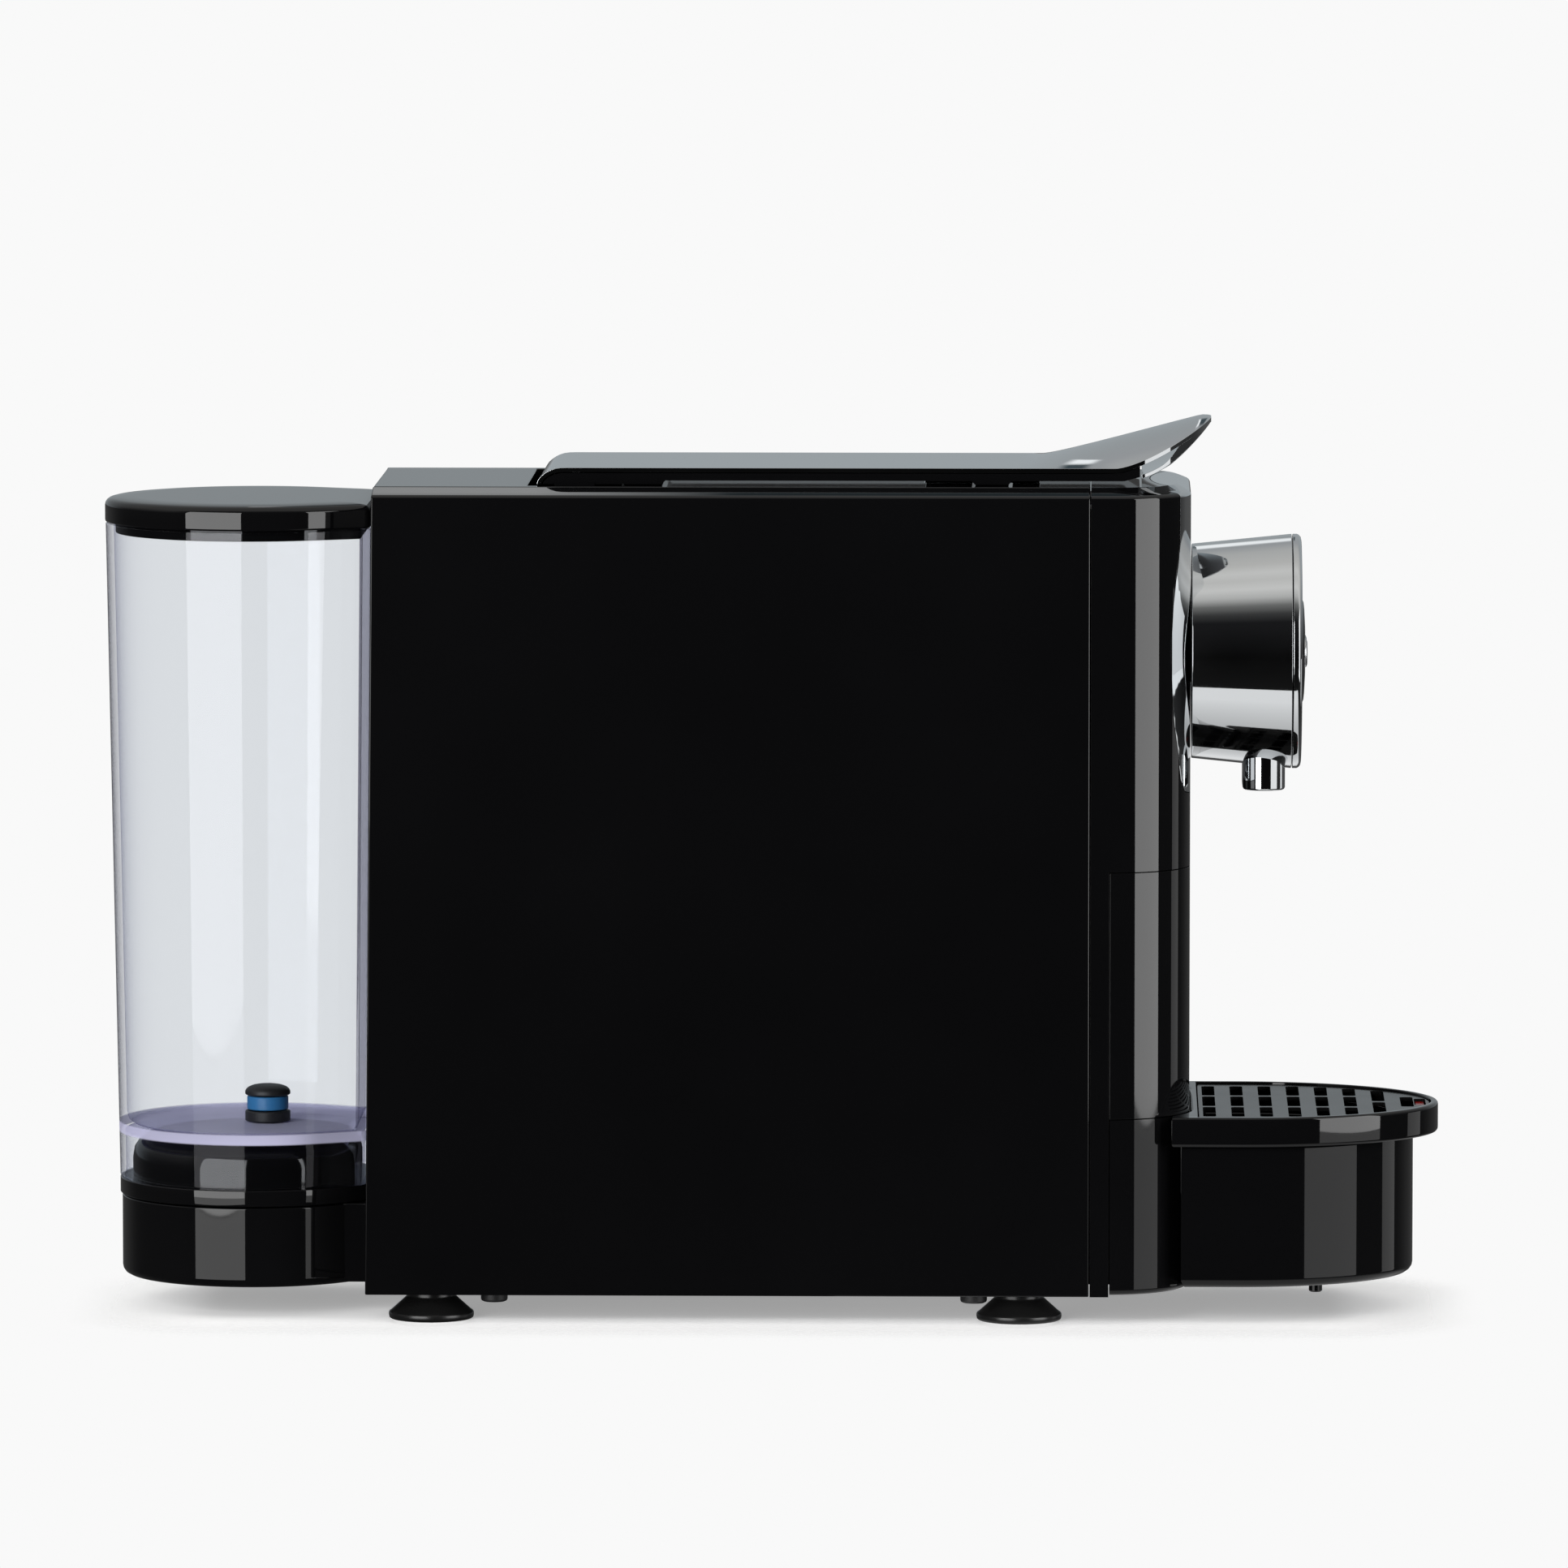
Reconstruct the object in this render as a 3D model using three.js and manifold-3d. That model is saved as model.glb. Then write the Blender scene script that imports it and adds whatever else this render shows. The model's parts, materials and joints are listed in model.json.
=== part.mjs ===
// Pod coffee machine: a slim capsule brewer with a rear water tank, a top lever, a horizontal brewing head
// and a pull-out unit that holds the used capsules and the drips.
// Millimetres. +X points to the front of the machine, +Y to its left side and +Z up.
// The origin lies at the middle of the footprint, on the surface that the machine stands on.

import * as THREE from 'three';
import { mergeVertices } from 'three/addons/utils/BufferGeometryUtils.js';
import Module from 'manifold-3d';

const wasm = await Module();
wasm.setup();

// ---------------------------------------------------------------- driving dimensions

const GAP = 0.3;                  // between pieces that touch
const WALL = 2.5;                 // body panels

const BODY_HALF = 50;             // half of the body's width
const BODY_BASE = 8.5;            // underside of the panels
const BODY_TOP = 249;             // flat top face
const BEVEL = { width: 10, drop: 2.3, frontWidth: 4.5 };
const REAR = { top: -117.6, bottom: -120.1 };   // the back leans out towards its foot
const FRONT_SEAM = 95.4;          // side panels meet the front cover
const FRONT_FACE = 125.2;
const CORNER_R = 25;              // upright front corners
const BAY = { x: 101.4, top: 135.4, split: 61.6 };   // opening of the pull-out unit

const TANK = { x: -155.4, rTop: 44.5, rBottom: 41, base: 38.7, floor: 54.4, rim: 235.6, wall: 2.4 };
const LID = { top: 243.5, overhang: 0.2 };
const TANK_CLEARANCE = 1.2;       // from the flat back of the tank to the leaning rear cover
const DOCK = { base: 33.5, ring: 38.4, boss: 52, bossR: 37.2 };
const PLATFORM = { x: -155.4, r: 40.4, base: 9, neckHalf: 29 };
const VALVE_X = -152;

const HINGE = { x: -58, z: 243 };
const LEVER = {
  half: 33, top: 254.2, base: 250.4, pad: 249.3, frameEnd: 110, riseFrom: 72, bendFrom: 103, tip: 131.6, tipTop: 268.4,
};
const DRIVE = { depth: 18.3, lead: 40, pinR: 2, clearance: 1.2, armHalf: 5.5, armLength: 27 };
const ARM_Y = [30, 33];

const HEAD = { z: 197.2, rootR: 32.1, frontR: 35.1, root: 125.6, seam: 155.5, front: 158.4, wall: 2 };
const DISC_R = 16;
const BUTTON = { y: 6.6, r: 4.4, proud: 160.4 };
const NOZZLE = { x: 147.3, r: 6.35, spread: 8.6, base: 156.4 };

const ROD = { y: [26, 29], half: 3, z: HINGE.z - DRIVE.depth };
const TRAY = { start: 119.8, half: 47, bend: 140, tip: 200.1, top: 61.9, bandBase: 53, floor: 38 };
const TRAY_BASE = { start: 122.7, half: 45, bend: 140, tip: 192.6, bottom: 10.6 };
const SLOT = { first: 131.2, pitch: 8.5, half: 1.9, gap: 1.3, reach: 38 };
const FLOAT_X = 194.6;

const FEET_X = [-101, 74.5];
const FEET_Y = [-36, 36];
const FOOT_R = 12.7;
const SCREW_X = [-82, 61];
const SCREW_Y = [-40, 40];

// ---------------------------------------------------------------- finishes

const finish = (color, roughness, metalness = 0, opacity = 1) =>
  new THREE.MeshStandardMaterial({ color, roughness, metalness, opacity, transparent: opacity < 1 });

const GLOSS = finish(0x0b0b0c, 0.12);
const MATT = finish(0x0e0e0f, 0.3);
const SATIN = finish(0x1c1c1e, 0.45);
const CHROME = finish(0xcfd4d8, 0.08, 1);
const CLEAR = finish(0xdfe3f2, 0.05, 0, 0.3);
const RUBBER = finish(0x141414, 0.85);
const STEEL = finish(0xa9adb0, 0.3, 1);
const ALUMINIUM = finish(0x9a9da0, 0.45, 1);
const WHITE = finish(0xd8d8d4, 0.5);
const SILICONE = finish(0xc9ccd0, 0.6);
const BOARD = finish(0x1d5a34, 0.6);
const BLUE = finish(0x3f86b4, 0.5);
const RED = finish(0xa3201c, 0.4);
const BRASS = finish(0xb08d4a, 0.35, 1);

// ---------------------------------------------------------------- shape helpers

// A closed three.js geometry as a manifold solid. Triangles that shrink to a line at a pole are dropped.
function solid(geometry) {
  const plain = geometry.index ? geometry.toNonIndexed() : geometry;
  const bare = new THREE.BufferGeometry().setAttribute('position', plain.getAttribute('position'));
  const merged = mergeVertices(bare, 1e-4);
  const kept = [];
  const all = merged.index.array;
  for (let i = 0; i < all.length; i += 3) {
    const [a, b, c] = [all[i], all[i + 1], all[i + 2]];
    if (a !== b && b !== c && c !== a) kept.push(a, b, c);
  }
  return new wasm.Manifold(new wasm.Mesh({
    numProp: 3,
    vertProperties: new Float32Array(merged.attributes.position.array),
    triVerts: new Uint32Array(kept),
  }));
}

const box = (x0, x1, y0, y1, z0, z1) => solid(
  new THREE.BoxGeometry(x1 - x0, y1 - y0, z1 - z0).translate((x0 + x1) / 2, (y0 + y1) / 2, (z0 + z1) / 2));

// A box that is the same on both sides of the middle plane.
const middleBox = (x0, x1, half, z0, z1) => box(x0, x1, -half, half, z0, z1);

// Turns a geometry whose axis is +Z so that its axis lies along x, y or z.
function along(geometry, axis) {
  if (axis === 'x') geometry.rotateY(Math.PI / 2);
  if (axis === 'y') geometry.rotateX(-Math.PI / 2);
  return geometry;
}

// A cylinder or cone from one end to the other along an axis, centred on the other two coordinates.
function rod(axis, from, to, a, b, r0, r1 = r0, sides = 20) {
  const g = new THREE.CylinderGeometry(r1, r0, to - from, sides).rotateX(Math.PI / 2);
  along(g, axis);
  const mid = (from + to) / 2;
  if (axis === 'x') g.translate(mid, a, b);
  if (axis === 'y') g.translate(a, mid, b);
  if (axis === 'z') g.translate(a, b, mid);
  return solid(g);
}

// A body of revolution. The profile lists (radius, height) up the outside. It starts and ends on the axis,
// or closes on itself.
function turned(profile, axis, x, y, z, sides = 28) {
  const closed = profile[0][0] === 0 ? profile : [...profile, profile[0]];
  const points = closed.map(([r, h]) => new THREE.Vector2(r, h));
  const g = new THREE.LatheGeometry(points, sides).rotateX(Math.PI / 2);
  return solid(along(g, axis).translate(x, y, z));
}

// An outline pushed from one place to another: in plan (x, y), from the side (x, z) or from the front (y, z).
function prism(points, from, to, plane = 'plan') {
  const shape = new THREE.Shape(points.map(([a, b]) => new THREE.Vector2(a, b)));
  const g = new THREE.ExtrudeGeometry(shape, { depth: to - from, bevelEnabled: false });
  g.translate(0, 0, plane === 'side' ? -to : from);
  if (plane === 'side') g.rotateX(Math.PI / 2);
  if (plane === 'front') g.rotateY(Math.PI / 2).rotateX(Math.PI / 2);
  return solid(g);
}

// A skin over rings that have the same number of points, closed by a fan at each end.
// Each ring runs anticlockwise when seen from the last ring.
function loft(rings) {
  const n = rings[0].length;
  const vertices = rings.flat(2);
  const index = [];
  for (let k = 0; k < rings.length - 1; k++) {
    for (let i = 0; i < n; i++) {
      const j = (i + 1) % n;
      const [a, b, c, d] = [k * n + i, k * n + j, (k + 1) * n + j, (k + 1) * n + i];
      index.push(a, b, c, a, c, d);
    }
  }
  for (const [ring, turn] of [[0, true], [rings.length - 1, false]]) {
    const flat = new THREE.Vector3();
    rings[ring].forEach((p) => flat.add(new THREE.Vector3(...p)));
    vertices.push(...flat.divideScalar(n).toArray());
    const hub = vertices.length / 3 - 1;
    for (let i = 0; i < n; i++) {
      const [a, b] = [ring * n + i, ring * n + (i + 1) % n];
      index.push(...(turn ? [hub, b, a] : [hub, a, b]));
    }
  }
  const g = new THREE.BufferGeometry();
  g.setAttribute('position', new THREE.Float32BufferAttribute(vertices, 3));
  g.setIndex(index);
  return solid(g);
}

// A round bar along a smooth curve through the points, with flat ends.
function hose(points, radius, steps) {
  const shape = new THREE.Shape().absarc(0, 0, radius, 0, 2 * Math.PI);
  const g = new THREE.ExtrudeGeometry(shape, {
    steps, curveSegments: 5, extrudePath: new THREE.CatmullRomCurve3(points.map((p) => new THREE.Vector3(...p))),
  });
  return solid(g);
}

const joined = (...solids) => solids.reduce((a, b) => a.add(b));
const cut = (from, ...tools) => tools.reduce((a, b) => a.subtract(b), from);

const machine = new THREE.Group();

// Adds one sub-part to the machine.
function add(name, body, material) {
  const m = body.getMesh();
  const g = new THREE.BufferGeometry();
  g.setAttribute('position', new THREE.Float32BufferAttribute(m.vertProperties, 3));
  g.setIndex([...m.triVerts]);
  const flat = g.toNonIndexed();
  flat.computeVertexNormals();
  const mesh = new THREE.Mesh(flat, material);
  mesh.name = name;
  machine.add(mesh);
}

const degrees = (a) => a * Math.PI / 180;

// Points on an arc in degrees, with both ends.
function arc(cx, cy, r, from, to, n) {
  return Array.from({ length: n + 1 }, (_, i) => {
    const a = degrees(from + (to - from) * i / n);
    return [cx + r * Math.cos(a), cy + r * Math.sin(a)];
  });
}

// ---------------------------------------------------------------- outlines of the body

// Where the outside of the leaning back is, at a height.
const rearX = (z) => REAR.bottom + (REAR.top - REAR.bottom) * (z - BODY_BASE) / (BODY_TOP - BODY_BASE);

// Plan of the body's front end: straight sides, two round corners and a flat front. When the back edge lies
// within the corners, they start part of the way round.
function frontPlan(back, half, front, r, n = 8) {
  const cx = front - r;
  const within = back > cx;
  const start = within ? Math.acos((back - cx) / r) * 180 / Math.PI : 90;
  const round = [...arc(cx, -half + r, r, -start, 0, n), ...arc(cx, half - r, r, 0, start, n)];
  return within ? round : [[back, -half], ...round, [back, half]];
}

// The front end as a full block, shrunk by an inset, with the bevel that runs round its top edge.
function frontBlock(back, base, inset) {
  const ring = (z, side, ahead) => frontPlan(
    back, BODY_HALF - inset - side, FRONT_FACE - inset - ahead, CORNER_R - inset - ahead).map(([x, y]) => [x, y, z]);
  const top = BODY_TOP - inset;
  return loft([
    ring(base, 0, 0), ring(top - BEVEL.drop - 1, 0, 0), ring(top - BEVEL.drop, 0.5, 0.3),
    ring(top - 0.7, BEVEL.width * 0.7, BEVEL.frontWidth * 0.5), ring(top, BEVEL.width, BEVEL.frontWidth),
  ]);
}

// ---------------------------------------------------------------- body panels

function sidePanel(side) {
  const edge = BODY_HALF - WALL;
  const profile = [
    [BODY_HALF, BODY_BASE], [BODY_HALF, BODY_TOP - BEVEL.drop], [BODY_HALF - BEVEL.width, BODY_TOP],
    [BODY_HALF - BEVEL.width, BODY_TOP - WALL], [edge, BODY_TOP - WALL - BEVEL.drop], [edge, BODY_BASE],
  ].map(([y, z]) => [side * y, z]);
  const strip = prism(profile, REAR.bottom - 5, FRONT_SEAM - GAP / 2, 'front');
  const behind = prism([
    [REAR.bottom - 10, BODY_BASE - 10], [rearX(BODY_BASE - 10), BODY_BASE - 10],
    [rearX(BODY_TOP + 10), BODY_TOP + 10], [REAR.bottom - 10, BODY_TOP + 10],
  ], -60, 60, 'side');
  return strip.subtract(behind);
}

const WELL = { x0: -72, x1: -44, half: 35.5 };
const CHUTE = { x0: 46, x1: 80, half: 20, wall: 2, base: 238 };

function topCover() {
  const half = BODY_HALF - BEVEL.width - GAP;
  const plate = middleBox(REAR.top + 0.2, FRONT_SEAM - GAP / 2, half, BODY_TOP - 2.4, BODY_TOP);
  const collar = middleBox(CHUTE.x0 - CHUTE.wall, CHUTE.x1 + CHUTE.wall, CHUTE.half + CHUTE.wall, CHUTE.base, BODY_TOP - 1);
  const ear = (side) => box(HINGE.x - 7, HINGE.x + 7, Math.min(side * 36, side * 39), Math.max(side * 36, side * 39),
    HINGE.z - 7, BODY_TOP - 1);
  return cut(
    joined(plate, collar, ear(-1), ear(1)),
    middleBox(CHUTE.x0, CHUTE.x1, CHUTE.half, CHUTE.base - 1, BODY_TOP + 1),
    middleBox(WELL.x0, WELL.x1, WELL.half, BODY_TOP - 5, BODY_TOP + 1),
    rod('y', -45, 45, HINGE.x, HINGE.z, DRIVE.pinR + 0.8),
  );
}

function rearCover() {
  const half = BODY_HALF - WALL - GAP;
  const slab = (z0, z1, width) => prism([
    [rearX(z0) + 0.4, z0], [rearX(z0) + 0.4 + WALL, z0], [rearX(z1) + 0.4 + WALL, z1], [rearX(z1) + 0.4, z1],
  ], -width, width, 'side');
  const low = BODY_BASE + 3;
  return cut(
    joined(slab(low, BODY_TOP - 5.2, half), slab(BODY_TOP - 8, BODY_TOP - 2.4 - GAP, half - 8)),
    rod('x', -125, -112, 0, 30, 7),
    rod('x', -125, -112, 39.5, 25, 4.3),
  );
}

function basePlate() {
  const half = BODY_HALF - WALL - GAP;
  return middleBox(REAR.bottom + 1, BAY.x - 7, half, BODY_BASE, BODY_BASE + 2.6);
}

// The bright trim is let into the front cover. The same outlines, grown by the gap, make its recess.
function trimRegion(grow) {
  const shield = [
    [0, 157.5 - grow], [30, 157.5 - grow], [36.2 + grow, 160], [37.4 + grow, 168], [39.6 + grow, 178],
    [40.6 + grow, 190], [40.6 + grow, 210], [39.4 + grow, 221], [37.4 + grow, 230], [37.2 + grow, BODY_TOP - 1.2],
  ];
  const mirrored = shield.slice(1).map(([y, z]) => [-y, z]).reverse();
  const face = prism([...shield, ...mirrored], 117.5, 130, 'front');
  const tongue = arc(0, 0, 1, 0, 360, 32).slice(0, -1)
    .map(([x, y]) => [FRONT_FACE + (12 + grow) * x, (36 + grow) * y]);
  return joined(face, prism(tongue, BODY_TOP - 6, BODY_TOP + 3));
}

// A strip round the inside of the front cover's back edge, which reaches behind the side panels and closes the seam.
const seamLip = (back, inset) => cut(
  frontBlock(back, 12, inset), frontBlock(back - 5, 10, 4.2), middleBox(FRONT_SEAM + 1.6, 140, 60, 0, 260));

function frontCover() {
  const back = FRONT_SEAM + GAP / 2;
  const hollow = cut(
    frontBlock(back, BAY.top, 0),
    frontBlock(back - 5, BAY.top - 5, WALL),
  );
  const legs = [-1, 1].map((side) => box(
    back, BAY.x - GAP, Math.min(side * BODY_HALF, side * (BODY_HALF - WALL)),
    Math.max(side * BODY_HALF, side * (BODY_HALF - WALL)), BODY_BASE, BAY.top + 2));
  const recess = cut(frontBlock(back, BAY.top, -1), frontBlock(back - 5, BAY.top - 5, 1.5)).intersect(trimRegion(GAP));
  return cut(joined(hollow, ...legs, seamLip(FRONT_SEAM - 1.1, WALL + GAP), seamLip(back + GAP, 2)), recess,
    rod('x', 115, 130, 0, HEAD.z, 12));
}

function frontTrim() {
  const back = FRONT_SEAM + GAP / 2;
  const skin = cut(frontBlock(back, BAY.top, 0), frontBlock(back - 5, BAY.top - 5, 1.2));
  return cut(skin.intersect(trimRegion(0)), rod('x', 115, 130, 0, HEAD.z, 12));
}

// ---------------------------------------------------------------- brewing head

// The nozzle is long across the machine, with round ends.
function nozzleBlock(z0, z1, grow) {
  const r = NOZZLE.r + grow;
  return prism([...arc(NOZZLE.x, -NOZZLE.spread, r, 180, 360, 14), ...arc(NOZZLE.x, NOZZLE.spread, r, 0, 180, 14)], z0, z1);
}

function headShell() {
  const { wall } = HEAD;
  const profile = [
    [HEAD.rootR, HEAD.root], [HEAD.frontR, HEAD.seam], [HEAD.frontR - wall, HEAD.seam], [HEAD.rootR - wall, HEAD.root],
  ];
  return turned(profile, 'x', 0, 0, HEAD.z, 48).subtract(nozzleBlock(150, 175, GAP));
}

function headBezel() {
  const r = HEAD.frontR;
  const profile = [
    [r, HEAD.seam + GAP], [r, HEAD.front - 1.4], [r - 0.8, HEAD.front - 0.4], [r - 2.2, HEAD.front], [r - 3.6, HEAD.front - 0.8],
    [DISC_R + GAP, HEAD.front - 0.8], [DISC_R + GAP, HEAD.seam + GAP],
  ];
  return turned(profile, 'x', 0, 0, HEAD.z, 40);
}

function controlDisc() {
  const profile = [
    [0, HEAD.seam + GAP], [DISC_R, HEAD.seam + GAP], [DISC_R, HEAD.front], [DISC_R - 3, HEAD.front + 0.8],
    [0, HEAD.front + 1.3],
  ];
  const holes = [-1, 1].map((side) => rod('x', 150, 165, side * BUTTON.y, HEAD.z, BUTTON.r + GAP));
  return cut(turned(profile, 'x', 0, 0, HEAD.z), ...holes);
}

const button = (side) => rod('x', HEAD.seam + 1, BUTTON.proud, side * BUTTON.y, HEAD.z, BUTTON.r);

function spoutNozzle() {
  const top = HEAD.z - 10.2;
  const neck = rod('z', 168, top, NOZZLE.x, 0, 4.6);
  return cut(joined(nozzleBlock(NOZZLE.base, 169, 0), neck), rod('z', NOZZLE.base - 1, top + 1, NOZZLE.x, 0, 2.5));
}

// A level tube that takes the coffee from the extraction plate's outlet to the nozzle.
function coffeeDuct() {
  return cut(
    rod('x', 94, 153, 0, HEAD.z, 9.5),
    rod('x', 93, 151, 0, HEAD.z, 7.4),
    rod('z', HEAD.z - 12, HEAD.z, NOZZLE.x, 0, 2.5),
  );
}

// ---------------------------------------------------------------- brewing unit

const CAGE = { x0: 18, x1: 46, r: 24.5, cupR: 19.5 };
const PLATE = { x0: 50, x1: 56.2, r: 23 };
const FRAME_Y = [30, 32.5];

function brewFrame() {
  const [inner, outer] = FRAME_Y;
  const floor = cut(middleBox(17, 99, outer, 150, 152.5), middleBox(46.5, 84, 21, 149, 153));
  const cheek = (side) => box(17, 99, Math.min(side * inner, side * outer), Math.max(side * inner, side * outer), 150, 232);
  const front = middleBox(96.5, 99, outer, 150, 232);
  return cut(joined(floor, cheek(-1), cheek(1), front), rod('x', 90, 105, 0, HEAD.z, 9.5 + GAP));
}

const bulkhead = () => middleBox(14, 16.5, BODY_HALF - WALL - GAP, BODY_BASE + 3, 148);

function brewCage() {
  return cut(
    rod('x', CAGE.x0, CAGE.x1, 0, HEAD.z, CAGE.r, CAGE.r, 32),
    rod('x', CAGE.x0 + 4, CAGE.x1 + 1, 0, HEAD.z, 15, CAGE.cupR, 32),
    rod('x', CAGE.x0 - 1, CAGE.x0 + 5, 0, HEAD.z, 6),
  );
}

// Three hollow spikes on a small plate, in the bottom of the cage.
function piercingNeedles() {
  const spikes = [90, 210, 330].map((a) => rod('x', 24, 28.5, 3.6 * Math.cos(degrees(a)),
    HEAD.z + 3.6 * Math.sin(degrees(a)), 0.9, 0.2, 8));
  return joined(rod('x', 17, 24.2, 0, HEAD.z, 6 - GAP), ...spikes);
}

function extractionPlate() {
  const outlet = rod('x', PLATE.x1 - 1, 97, 0, HEAD.z, 6);
  return cut(
    joined(rod('x', PLATE.x0, PLATE.x1, 0, HEAD.z, PLATE.r, PLATE.r, 32), outlet),
    rod('x', PLATE.x0 - 1, 98, 0, HEAD.z, 4),
  );
}

const PIN_X = HINGE.x - DRIVE.depth * Math.tan(degrees(DRIVE.lead));

function brewCarriage() {
  const bar = (side) => box(PIN_X - 5, PLATE.x1 + 3.8, Math.min(side * ROD.y[0], side * ROD.y[1]),
    Math.max(side * ROD.y[0], side * ROD.y[1]), ROD.z - ROD.half, ROD.z + ROD.half);
  const yoke = middleBox(PLATE.x1 + GAP, PLATE.x1 + 3.8, ROD.y[1], 180, ROD.z + ROD.half);
  return cut(
    joined(bar(-1), bar(1), yoke),
    rod('x', 50, 65, 0, HEAD.z, 6 + GAP),
    rod('y', -40, 40, PIN_X, ROD.z, DRIVE.pinR + GAP),
  );
}

const drivePin = () => rod('y', -34, 34, PIN_X, ROD.z, DRIVE.pinR, DRIVE.pinR, 16);

// ---------------------------------------------------------------- lever

const clamp01 = (v) => Math.min(1, Math.max(0, v));
const bendShare = (x) => clamp01((x - LEVER.bendFrom) / (LEVER.tip - LEVER.bendFrom));

// Half width of the lever's plan: straight sides, then a half ellipse to the tip.
const leverHalf = (x) => LEVER.half * Math.sqrt(Math.max(0.004, 1 - bendShare(x) ** 2));

// Height of the lever's side edges, which stay level until the grip.
const edgeHeight = (x) => LEVER.top + (LEVER.tipTop - 0.6 - LEVER.top) * bendShare(x) ** 1.4;

// Height of the middle of the lever, which rises in a straight ramp with a rounded foot and tip.
function ridgeHeight(x) {
  const slope = (LEVER.tipTop - LEVER.top) / (LEVER.tip - 2 - LEVER.riseFrom);
  const foot = 8;
  const run = x - LEVER.riseFrom;
  const ramp = run <= 0 ? 0 : run < foot ? run * run / (2 * foot) : run - foot / 2;
  const tipDrop = 1.2 * clamp01((x - LEVER.tip + 4) / 4) ** 2;
  return Math.max(edgeHeight(x), LEVER.top + (slope * 1.075) * ramp - tipDrop);
}

// The underside of the grip's lower blade, which sweeps up from the end of the lever frame to the tip and sags in the middle.
function bladeHeight(x, s) {
  const sag = 2.6 * clamp01((x - 110) / 9) * (leverHalf(x) / LEVER.half) ** 2;
  return 251 + 15.8 * clamp01((x - 109) / (LEVER.tip - 109)) ** 1.6 - sag * (1 - s * s);
}

const STRIPS = 8;

// One ring of a strip that lies between two surfaces, each given as a height over (x, share of half width).
function stripRing(x, half, upper, lower) {
  const shares = Array.from({ length: STRIPS + 1 }, (_, i) => -1 + 2 * i / STRIPS);
  return [
    ...shares.map((s) => [x, s * half, lower(x, s)]),
    ...shares.reverse().map((s) => [x, s * half, upper(x, s)]),
  ];
}

const hoodTop = (x, s) => edgeHeight(x) + (ridgeHeight(x) - edgeHeight(x)) * (1 - s * s);
const hoodUnder = (x, s) => hoodTop(x, s) - 1.3;

// The blade grows out of the hood: its upper side rises to the hood where the grip's opening ends.
function bladeTop(x, s) {
  const low = bladeHeight(x, s) + 1.1;
  return low + (hoodTop(x, s) - 0.4 - low) * clamp01((x - 116.5 - 4 * (1 - s * s)) / 6) ** 2;
}

const stations = (from, to, n) => Array.from({ length: n + 1 }, (_, i) => from + (to - from) * i / n);

function leverCover() {
  const nose = [
    [74, LEVER.top], [-62, LEVER.top], [-65, 253.5], [-67.4, 252], [-68.8, 250.4], [-69.2, 249.3],
    [-68, 249.3], [-67.6, 250.2], [-66.4, 251.4], [-64.4, 252.4], [-62, LEVER.top - 1.3], [74, LEVER.top - 1.3],
  ];
  const plate = prism(nose, -LEVER.half, LEVER.half, 'side');
  const tipX = LEVER.tip - 0.3;
  const hood = loft(stations(72, tipX, 18).map((x) => stripRing(x, leverHalf(x), hoodTop, hoodUnder)));
  const blade = loft(stations(LEVER.frameEnd + 0.6, tipX - 0.4, 15).map((x) => stripRing(
    x, leverHalf(x) - 0.3, bladeTop, bladeHeight)));
  return joined(plate, hood, blade);
}

function leverFrame() {
  const top = LEVER.top - 1.3 - GAP;
  const side = [
    [73, top], [-62, top], [-64.2, 252.1], [-66.1, 251.1], [-67.2, 250], [-67.5, LEVER.pad], [-32, LEVER.pad],
    [-31, LEVER.base], [60, LEVER.base], [61, LEVER.pad], [71, LEVER.pad], [72, LEVER.base], [73, LEVER.base],
  ];
  const plate = prism(side, -LEVER.half + 0.4, LEVER.half - 0.4, 'side');
  const wedge = loft(stations(72.5, LEVER.frameEnd, 8).map((x) => stripRing(
    x, leverHalf(x) - 0.4, (a, s) => hoodTop(a, s) - 1.3 - GAP,
    (a) => LEVER.base + 1.2 * clamp01((a - 106) / 4) ** 2)));
  const arms = [-1, 1].map((s) => {
    const [y0, y1] = s > 0 ? ARM_Y : [-ARM_Y[1], -ARM_Y[0]];
    const lead = degrees(DRIVE.lead);
    const down = [-Math.sin(lead), -Math.cos(lead)];
    const across = [Math.cos(lead), -Math.sin(lead)];
    const at = (d, w) => [HINGE.x + down[0] * d + across[0] * w, HINGE.z + down[1] * d + across[1] * w];
    const blade = prism([at(0, -DRIVE.armHalf), at(DRIVE.armLength, -DRIVE.armHalf), at(DRIVE.armLength, DRIVE.armHalf),
      at(0, DRIVE.armHalf)], y0, y1, 'side');
    const slotHalf = DRIVE.pinR + DRIVE.clearance;
    const slot = prism([at(15, -slotHalf), at(40, -slotHalf), at(40, slotHalf), at(15, slotHalf)], y0 - 1, y1 + 1, 'side');
    const hub = rod('y', y0, y1, HINGE.x, HINGE.z, 6.5);
    const post = box(HINGE.x - 6, HINGE.x + 6, y0, y1, HINGE.z, LEVER.pad + 0.5);
    return joined(cut(blade, slot), hub, post);
  });
  return cut(joined(plate, wedge, ...arms), rod('y', -50, 50, HINGE.x, HINGE.z, DRIVE.pinR + 0.5 + GAP));
}

const hingePin = () => rod('y', -38.7, 38.7, HINGE.x, HINGE.z, DRIVE.pinR + 0.5, DRIVE.pinR + 0.5, 20);

// ---------------------------------------------------------------- tank and its dock

// Plan of the dock: a circle cut off flat where it meets the back of the body.
function tankPlan(r, flat, n = 34) {
  const reach = Math.min(flat - TANK.x, r * 0.98);
  const half = Math.acos(reach / r) * 180 / Math.PI;
  return arc(TANK.x, 0, r, half, 360 - half, n);
}

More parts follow.
